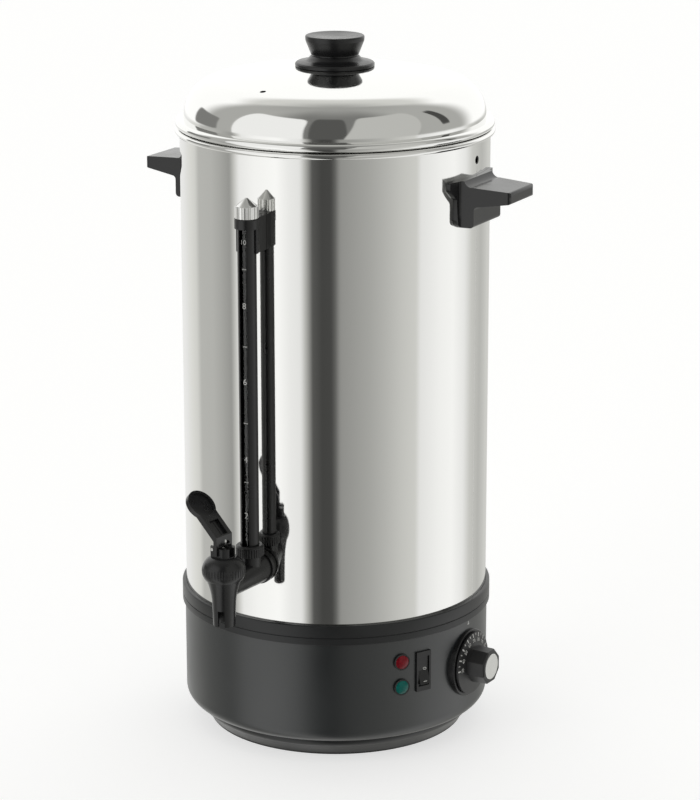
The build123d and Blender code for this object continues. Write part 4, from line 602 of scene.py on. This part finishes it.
seam_azimuth = radians(91.8)
overflow_height = 435.0
overflow_radius = 3.0
overflow_drill_reach = 4.0
overflow_out = np.array([sin(seam_azimuth), -cos(seam_azimuth), 0])
overflow_spot = overflow_out * wall_middle + np.array([0, 0, overflow_height])
overflow_drill = drill_mesh(overflow_spot, overflow_out, overflow_radius, overflow_drill_reach)
tank_mesh = drilled(grid_mesh("tank_sheet", turned(tank_outline, 320)), overflow_drill)
dress("tank_sheet", tank_mesh, polished, "base", "polished_steel", "tank_shell")
# The inside keeps the sheet's dull mill finish.
mill_steel = finish(
    "mill_steel",
    (0.62, 0.62, 0.61),
    (0.70, 0.70, 0.69),
    (0.34, 0.46),
    0.4,
    0.00002,
    fine=1200.0,
    coarse=30.0,
    Metallic=0.55,
)
tank_mesh.materials.append(mill_steel)
face_centres = np.empty(3 * len(tank_mesh.polygons), np.float32)
tank_mesh.polygons.foreach_get("center", face_centres)
face_radius = np.hypot(*face_centres.reshape(-1, 3)[:, :2].T)
inside_faces = (face_radius < wall_middle * 0.001).astype(np.int32)
tank_mesh.polygons.foreach_set("material_index", inside_faces)

# Dressed weld up the right side: a low bead, half a cosine wave across, with a fine ripple
# along its height. It starts on the rim and ends under the overflow hole.
seam_bottom = 107.0
seam_top = 430.6
seam_half_angle = 0.0052
seam_base = 112.95
seam_rise = 0.14
seam_ripple_depth = 0.012
seam_ripple_rate = 3.1
seam_across = np.linspace(-1, 1, 13)[None, :]
seam_height = np.linspace(seam_bottom, seam_top, 120)[:, None]
seam_angle = seam_azimuth + seam_half_angle * seam_across + 0 * seam_height
seam_ripple = seam_ripple_depth * np.sin(seam_height * seam_ripple_rate)
seam_radius = seam_base + (seam_rise + seam_ripple) * np.cos(seam_across * pi / 2)
seam_face = np.stack(
    [
        seam_radius * np.sin(seam_angle),
        -seam_radius * np.cos(seam_angle),
        seam_height + 0 * seam_across,
    ],
    axis=-1,
)
seam_sink = (tank_radius - 0.2) / tank_radius
seam_back = seam_face[:, ::-1] * np.array([seam_sink, seam_sink, 1.0])
seam_grid = np.concatenate([seam_face, seam_back], axis=1)
seam_ends = [row.mean(1, keepdims=True) + 0 * row for row in (seam_grid[:1], seam_grid[-1:])]
seam_grid = np.concatenate([seam_ends[0], seam_grid, seam_ends[1]])
brushed_weld = finish(
    "brushed_weld",
    (0.62, 0.62, 0.60),
    (0.74, 0.74, 0.72),
    (0.24, 0.36),
    0.5,
    0.00004,
    fine=1100.0,
    coarse=240.0,
    Metallic=1.0,
)
seam_mesh = grid_mesh("weld_seam", seam_grid, wrap=(False, True), weld=True)
dress("weld_seam", seam_mesh, brushed_weld, "base", "polished_steel")

# ---- Lid ----
# Spun stainless dome with a rolled edge that rests on the tank's bead and a skirt that
# drops inside it. A small steam hole lies near the left side.
lid_top = 495.6
lid_wall = 0.6
lid_bead_inner = 112.0
crown_radius = 430.0
crown_centre = lid_top - crown_radius
crown_start = 89.7
shoulder_radius = 27.0
shoulder_centre = (82.8, 460.0)
shoulder_sweep = 78.15
lid_neck = (109.8, 457.9)
lid_neck_inside = (109.2, 457.2)
lid_bead_centre = (112.9, 454.7)
lid_bead_radius = 3.1
lid_skirt = 111.4
lid_skirt_bottom = 445.6
lid_bead_bottom = 451.6
lid_outline = np.concatenate(
    [
        [(0.0, lid_top)],
        arc(0.0, crown_centre, crown_radius, crown_start, shoulder_sweep - crown_start, 26)[:-1],
        arc(*shoulder_centre, shoulder_radius, shoulder_sweep, -shoulder_sweep, 26),
        [lid_neck],
        arc(*lid_bead_centre, lid_bead_radius, 90, -180, 16),
        rounded(
            [
                (lid_bead_inner, lid_bead_bottom, 0.0),
                (lid_skirt, lid_bead_bottom, 0.2),
                (lid_skirt, lid_skirt_bottom, 0.2),
                (lid_skirt - lid_wall, lid_skirt_bottom, 0.2),
                (lid_skirt - lid_wall, lid_bead_bottom + lid_wall, 0.2),
                (lid_bead_inner, lid_bead_bottom + lid_wall, 0.0),
            ],
            steps=3,
            closed=False,
        ),
        arc(*lid_bead_centre, lid_bead_radius - lid_wall, -90, 180, 12),
        [lid_neck_inside],
        arc(*shoulder_centre, shoulder_radius - lid_wall, 0, shoulder_sweep, 20)[:-1],
        arc(0.0, crown_centre, crown_radius - lid_wall, shoulder_sweep, crown_start - shoulder_sweep, 20),
        [(0.0, lid_top - lid_wall)],
    ]
)
steam_azimuth = radians(-8)
steam_circle = 85.0
steam_radius = 2.2
steam_height = 486.5
steam_drill_reach = 6.0
steam_spot = (sin(steam_azimuth) * steam_circle, -cos(steam_azimuth) * steam_circle, steam_height)
steam_drill = drill_mesh(steam_spot, (0.0, 0.0, 1.0), steam_radius, steam_drill_reach)
lid_grid = grid_mesh("lid_dome", turned(lid_outline, 320), wrap=(True, False), weld=True)
lid_mesh = drilled(lid_grid, steam_drill)
dress("lid_dome", lid_mesh, polished, "lid", "polished_steel", "lid_shell")

# ---- Lid knob ----
# Moulded black knob with a dished top, a waist groove and a flared flange, held by a screw
# from under the lid.
satin_black = finish(
    "satin_black",
    (0.010, 0.010, 0.011),
    (0.017, 0.017, 0.018),
    (0.24, 0.34),
    0.7,
    0.000015,
    fine=1300.0,
    coarse=60.0,
)
knob_dish = 515.9
dish_rise = 0.9
dish_radius = 19.6
knob_radius = 21.5
knob_top = 517.1
waist_radius = 17.4
waist_groove = 16.4
waist_groove_top = 503.4
waist_groove_bottom = 502.4
flange_radius = 28.8
dish_steps = np.linspace(1.0, 17.5, 8)
knob_outline = np.concatenate(
    [
        [(0.0, knob_dish)],
        np.stack([dish_steps, knob_dish + dish_rise * (dish_steps / dish_radius) ** 2], axis=1),
        rounded(
            [
                (19.0, 516.85, 0.0),
                (knob_radius, knob_top, 2.0),
                (21.3, 513.4, 0.6),
                (waist_radius, waist_groove_top, 0.25),
                (waist_groove, waist_groove_top, 0.2),
                (waist_groove, waist_groove_bottom, 0.2),
                (waist_radius, waist_groove_bottom, 0.3),
                (20.4, 499.2, 6.0),
                (27.8, 497.8, 1.2),
                (flange_radius, 496.8, 0.8),
                (flange_radius, 494.9, 0.2),
                (14.0, 495.5, 0.0),
            ],
            closed=False,
        ),
        [(0.0, 495.7)],
    ]
)
knob_mesh = grid_mesh("knob_moulding", turned(knob_outline, 128), wrap=(True, False), weld=True)
dress("knob_moulding", knob_mesh, satin_black, "lid", "handle_plastic", "lid_knob")

# ---- Handles ----
# Each is one moulding: a back plate with two wings on the tank, a leg down the middle and a
# ledge that tapers to its tip, with its edges already rounded. Two screws from inside hold it.
moulding_corner = radians(30)
flat_enough = radians(0.15)
join_distance = 2e-6


def moulding(node, material, body, slot, eased):
    """Puts a copy of a CAD node in the scene with its edges eased by a width in millimetres.

    Its loose triangles are joined, its flat faces made whole and their shading evened out.
    """
    mesh = frame["nodes"][node].data.copy()
    mesh.name = node + "_moulding"
    work = bmesh.new()
    work.from_mesh(mesh)
    bmesh.ops.remove_doubles(work, verts=work.verts, dist=join_distance)
    bmesh.ops.dissolve_limit(work, angle_limit=flat_enough, verts=work.verts, edges=work.edges)
    work.to_mesh(mesh)
    work.free()
    mesh.shade_smooth()
    mesh.set_sharp_from_angle(angle=moulding_corner)
    piece = dress(node + "_moulding", mesh, material, body, slot, node)
    if eased:
        bevel = piece.modifiers.new("eased_edges", "BEVEL")
        bevel.width = eased * 0.001
        bevel.segments = 2
        bevel.limit_method = "ANGLE"
        bevel.angle_limit = moulding_corner
        bevel.harden_normals = False
    even = piece.modifiers.new("even_shading", "WEIGHTED_NORMAL")
    even.keep_sharp = True


handle_black = finish(
    "handle_black",
    (0.014, 0.014, 0.015),
    (0.022, 0.022, 0.023),
    (0.14, 0.22),
    0.6,
    0.000010,
    fine=1100.0,
    coarse=50.0,
)
for node in ("handle_right", "handle_left"):
    moulding(node, handle_black, "base", "handle_plastic", 0.0)

# ---- Tap ----
# Moulded black tap: a spout under a valve chamber, a side arm through the tank wall, a fluted
# bonnet with a yoke, and a lever with a thumb paddle.
for node, body in (("tap_body", "base"), ("tap_bonnet", "base"), ("tap_lever", "lever")):
    moulding(node, satin_black, body, "tap_plastic", 0.25)

# ---- Level gauge ----
# Clear tube in a black C-shaped shield between the tap's boss and a bracket on the tank,
# with a knurled nut below and a chromed cap on top.
clear = finish(
    "clear",
    (0.93, 0.95, 0.94),
    (0.97, 0.98, 0.975),
    (0.02, 0.04),
    0.1,
    0.000001,
    fine=400.0,
    coarse=20.0,
    Transmission_Weight=1.0,
    IOR=1.49,
)
chrome = finish(
    "chrome",
    (0.78, 0.78, 0.77),
    (0.86, 0.86, 0.85),
    (0.10, 0.16),
    0.3,
    0.00001,
    fine=1800.0,
    coarse=90.0,
    Metallic=1.0,
)
tube_radius = 4.5
tube_bore = 3.3
tube_bottom = 160.55
tube_top = 406.45
tube_distance = 129.0
tube_outline = rounded(
    [
        (tube_bore, tube_bottom, 0.1),
        (tube_radius, tube_bottom, 0.2),
        (tube_radius, tube_top, 0.2),
        (tube_bore, tube_top, 0.1),
    ],
    steps=3,
)
tube_mesh = grid_mesh("gauge_glass", turned(tube_outline, 64) + np.array([0, -tube_distance, 0]))
dress("gauge_glass", tube_mesh, clear, "base", "gauge_glass", "gauge_tube")
for node, material, slot in (
    ("gauge_shield", satin_black, "tap_plastic"),
    ("gauge_bracket", satin_black, "tap_plastic"),
    ("gauge_nut", satin_black, "tap_plastic"),
    ("gauge_cap", chrome, "cap_chrome"),
):
    moulding(node, material, "base", slot, 0.2)

# Printed marks are thin closed shapes that lie on a piece, a little clear of its surface.
print_half_thickness = 0.04
print_clearance = 0.06


def words_print(words, tall):
    """Corners (across, up, thickness) and faces of words, centred and `tall` millimetres high."""
    curve = bpy.data.curves.new("words", "FONT")
    curve.body = words
    curve.extrude = print_half_thickness
    curve.resolution_u = 3
    holder = bpy.data.objects.new("words", curve)
    mesh = bpy.data.meshes.new_from_object(holder)
    bpy.data.objects.remove(holder)
    corners = np.empty(3 * len(mesh.vertices), np.float32)
    mesh.vertices.foreach_get("co", corners)
    corners = corners.reshape(-1, 3).astype(float)
    low, high = corners.min(0), corners.max(0)
    corners[:, :2] = (corners[:, :2] - (low + high)[:2] / 2) * tall / (high - low)[1]
    faces = [tuple(polygon.vertices) for polygon in mesh.polygons]
    bpy.data.meshes.remove(mesh)
    return corners, faces


def stroke_print(outline):
    """Corners and faces of a printed patch: its outline at the bottom and again at the top."""
    flat = np.array(outline, float)
    count = len(flat)
    levels = (-print_half_thickness, print_half_thickness)
    corners = np.concatenate([np.insert(flat, 2, level, axis=1) for level in levels])
    faces = [tuple(range(count))[::-1], tuple(range(count, 2 * count))]
    faces += [(k, (k + 1) % count, count + (k + 1) % count, count + k) for k in range(count)]
    return corners, faces


def bar_print(wide, tall):
    """Corners and faces of a printed bar of this width and height."""
    return stroke_print([(x * wide / 2, y * tall / 2) for x, y in ((-1, -1), (1, -1), (1, 1), (-1, 1))])


def print_mesh(name, marks, place):
    """One mesh of marks (print, x, y, degrees), each turned, moved to x and y and laid on a surface.

    `place(x, y, rise)` gives the point in millimetres over the surface that the marks lie on.
    """
    corners, faces, start = [], [], 0
    for (shape, sides), x, y, turn in marks:
        c, s = cos(radians(turn)), sin(radians(turn))
        across, up, thickness = shape.T
        corners.append(np.stack([x + c * across - s * up, y + s * across + c * up, thickness], axis=1))
        faces += [tuple(start + k for k in side) for side in sides]
        start += len(shape)
    mesh = bpy.data.meshes.new(name)
    mesh.from_pydata(place(*np.concatenate(corners).T) * 0.001, [], faces)
    mesh.update()
    return mesh


white_print = finish(
    "white_print",
    (0.86, 0.86, 0.84),
    (0.92, 0.92, 0.90),
    (0.40, 0.52),
    0.6,
    0.000005,
    fine=1500.0,
    coarse=200.0,
)
# Heights of the litre marks on the tube: a number at the even litres, a short bar between.
litre_marks = (
    (10, 389.8), (9, 370.6), (8, 344.4), (7, 315.0), (6, 289.5),
    (5, 259.2), (4, 232.7), (3, 215.7), (2, 191.1),
)
digit_height = 4.4
two_digit_height = 3.4
litre_bar = bar_print(3.0, 0.8)
litre_bar_shift = 0.2
gauge_marks = []
for litres, height in litre_marks:
    if litres % 2:
        gauge_marks.append((litre_bar, litre_bar_shift, height, 0))
    else:
        tall = digit_height if litres < 10 else two_digit_height
        gauge_marks.append((words_print(str(litres), tall), 0.0, height, 0))


def on_tube(x, y, rise):
    """Point on the front of the tube: x millimetres round from its middle, at height y."""
    reach = tube_radius + print_clearance + rise
    turn = x / tube_radius
    return np.stack([reach * np.sin(turn), -tube_distance - reach * np.cos(turn), y], axis=-1)


gauge_print = print_mesh("gauge_marks", gauge_marks, on_tube)
dress("gauge_marks", gauge_print, white_print, "base", "terminal_plastic")

# ---- Dial ----
# Thermostat knob: a thin conical skirt with the scale, an eight-sided grip and a turned
# metal disc in its end, inside a moulded bezel on the drum.
dial_black = finish(
    "dial_black",
    (0.020, 0.020, 0.021),
    (0.030, 0.030, 0.031),
    (0.32, 0.42),
    0.7,
    0.000015,
    fine=1300.0,
    coarse=60.0,
)
for node, material, body, slot in (
    ("dial_bezel", satin_black, "base", "dial_plastic"),
    ("dial_knob", dial_black, "dial", "dial_plastic"),
    ("dial_cap", chrome, "dial", "dial_disc"),
):
    moulding(node, material, body, slot, 0.2)

# Scale on the skirt: a bar and a number every 22 degrees from the left over the top, with
# a finer bar between, and a small arrowhead on the drum over the dial.
scale_start = 181
scale_step = 22
scale_count = 8
bar_circle = 21.6
number_circle = 17.9
fine_bar_circle = 22.1
coarse_bar = bar_print(1.1, 2.8)
fine_bar = bar_print(0.7, 1.7)
scale_number_height = 2.5
dial_marks = []
for step in range(scale_count):
    angle = scale_start - scale_step * step
    x, y, upright = cos(radians(angle)), sin(radians(angle)), angle - 90
    number = words_print(str(30 + 10 * step), scale_number_height)
    dial_marks.append((coarse_bar, bar_circle * x, bar_circle * y, upright))
    dial_marks.append((number, number_circle * x, number_circle * y, upright))
    if step < scale_count - 1:
        between = angle - scale_step / 2
        x, y = cos(radians(between)), sin(radians(between))
        dial_marks.append((fine_bar, fine_bar_circle * x, fine_bar_circle * y, between - 90))

dial_azimuth = 87.5
dial_height = 58.3
skirt_face = 120.3
skirt_fall = 1.8
skirt_inner = 13.8
skirt_outer = 23.2
pointer_clearance = 0.05
pointer_height = 88.9


def on_skirt(x, y, rise):
    """Point on the conical skirt, whose face falls evenly from the grip to its edge."""
    fall = (np.hypot(x, y) - skirt_inner) / (skirt_outer - skirt_inner) * skirt_fall
    out = skirt_face + print_clearance - fall + rise
    return faced(dial_azimuth, dial_height, np.stack([x, y, out], axis=-1))


def on_drum(x, y, rise):
    """Point on the drum: x millimetres round from the dial's azimuth, at height y."""
    turn = radians(dial_azimuth) + x / drum_radius
    reach = drum_radius + pointer_clearance + rise
    return np.stack([reach * np.sin(turn), -reach * np.cos(turn), y], axis=-1)


arrowhead = stroke_print([(-1.4, -1.3), (1.4, -1.3), (0.0, 1.7)])
scale_print = print_mesh("dial_scale", dial_marks, on_skirt)
pointer_print = print_mesh("dial_pointer", [(arrowhead, 0.0, pointer_height, 0)], on_drum)
dress("dial_scale", scale_print, white_print, "dial", "terminal_plastic")
dress("dial_pointer", pointer_print, white_print, "base", "terminal_plastic")

# ---- Switch ----
# Rocker switch: a moulded frame in the drum and a rocker on two pips, marked 0 and I.
for node, body in (("switch_housing", "base"), ("switch_rocker", "rocker")):
    moulding(node, satin_black, body, "switch_plastic", 0.3)

switch_azimuth = 62.1
switch_height = 65.2
rocker_pivot = 110.6
rocker_lean = radians(8)
rocker_valley = 3.8
rocker_slope = 1.6 / 10.5


def on_rocker(x, y, rise):
    """Point on the rocker's two slopes, which meet in a valley and lean in at the top.

    Over the rocker's own plane a slope stands at valley + slope·|y|.
    """
    over = rocker_valley + rocker_slope * np.abs(y) + print_clearance + rise
    up = over * sin(rocker_lean) + y * cos(rocker_lean)
    out = rocker_pivot + over * cos(rocker_lean) - y * sin(rocker_lean)
    return faced(switch_azimuth, switch_height, np.stack([x, up, out], axis=-1))


rocker_marks = [(words_print("0", 3.2), 1.4, 0.9, 78), (words_print("I", 3.0), 0.4, -8.4, 90)]
rocker_print = print_mesh("rocker_marks", rocker_marks, on_rocker)
dress("rocker_marks", rocker_print, white_print, "rocker", "terminal_plastic")

# ---- Lamps ----
# Two neon lamps: a thin black bezel and a domed coloured lens each, red over green.
red_lens = finish(
    "red_lens",
    (0.16, 0.002, 0.009),
    (0.36, 0.008, 0.020),
    (0.12, 0.20),
    0.1,
    0.00004,
    fine=1200.0,
    coarse=700.0,
    Specular_IOR_Level=0.25,
)
green_lens = finish(
    "green_lens",
    (0.001, 0.09, 0.078),
    (0.003, 0.24, 0.20),
    (0.12, 0.20),
    0.1,
    0.00004,
    fine=1200.0,
    coarse=700.0,
    Specular_IOR_Level=0.25,
)
for node, material, slot in (
    ("lamp_bezels", satin_black, "switch_plastic"),
    ("red_lamp_lens", red_lens, "lamp_red"),
    ("green_lamp_lens", green_lens, "lamp_green"),
):
    moulding(node, material, "base", slot, 0.15)

# ---- Cord gland ----
# Moulded gland and lock nut at the back of the drum, where the supply cord would enter.
for node in ("cord_gland", "gland_nut"):
    moulding(node, satin_black, "base", "base_plastic", 0.3)

# ---- Inner pieces ----
# Everything that shows only from below or with the lid up keeps its CAD shape, with the
# finish of what it is made of.
plain_steel = finish(
    "plain_steel",
    (0.60, 0.60, 0.59),
    (0.68, 0.68, 0.66),
    (0.22, 0.34),
    0.4,
    0.00002,
    fine=900.0,
    coarse=30.0,
    Metallic=1.0,
)
zinc = finish(
    "zinc",
    (0.52, 0.53, 0.55),
    (0.66, 0.67, 0.68),
    (0.25, 0.42),
    0.3,
    0.00002,
    fine=900.0,
    coarse=60.0,
    Metallic=1.0,
)
rubber = finish("rubber", (0.02, 0.02, 0.02), (0.035, 0.035, 0.035), (0.55, 0.7), 0.6, 0.00003)
cast_aluminium = finish(
    "cast_aluminium",
    (0.60, 0.61, 0.62),
    (0.70, 0.71, 0.72),
    (0.38, 0.52),
    0.6,
    0.00004,
    fine=1400.0,
    coarse=80.0,
    Metallic=1.0,
)
brass = finish("brass", (0.62, 0.44, 0.18), (0.72, 0.54, 0.26), (0.25, 0.38), 0.4, 0.00001, Metallic=1.0)
copper = finish("copper", (0.68, 0.34, 0.20), (0.78, 0.42, 0.26), (0.26, 0.40), 0.4, 0.00001, Metallic=1.0)
pale_moulding = finish("pale_moulding", (0.66, 0.64, 0.58), (0.74, 0.72, 0.66), (0.40, 0.52), 0.6, 0.00001)
slot_finish = {
    "polished_steel": polished,
    "plain_steel": plain_steel,
    "zinc_steel": zinc,
    "heater_aluminium": cast_aluminium,
    "drum_paint": drum_black,
    "base_plastic": moulded_black,
    "handle_plastic": handle_black,
    "tap_plastic": satin_black,
    "seal_rubber": rubber,
    "gauge_glass": clear,
    "cap_chrome": chrome,
    "dial_plastic": dial_black,
    "dial_disc": chrome,
    "switch_plastic": satin_black,
    "lamp_red": red_lens,
    "lamp_green": green_lens,
    "lamp_body": pale_moulding,
    "terminal_plastic": pale_moulding,
    "brass_screw": brass,
    "copper_bulb": copper,
}
node_slots = {row["node"]: row["material_slot"] for row in frame["record"]["subparts"]}
for name, piece in frame["nodes"].items():
    piece.data.materials.clear()
    piece.data.materials.append(slot_finish[node_slots[name]])
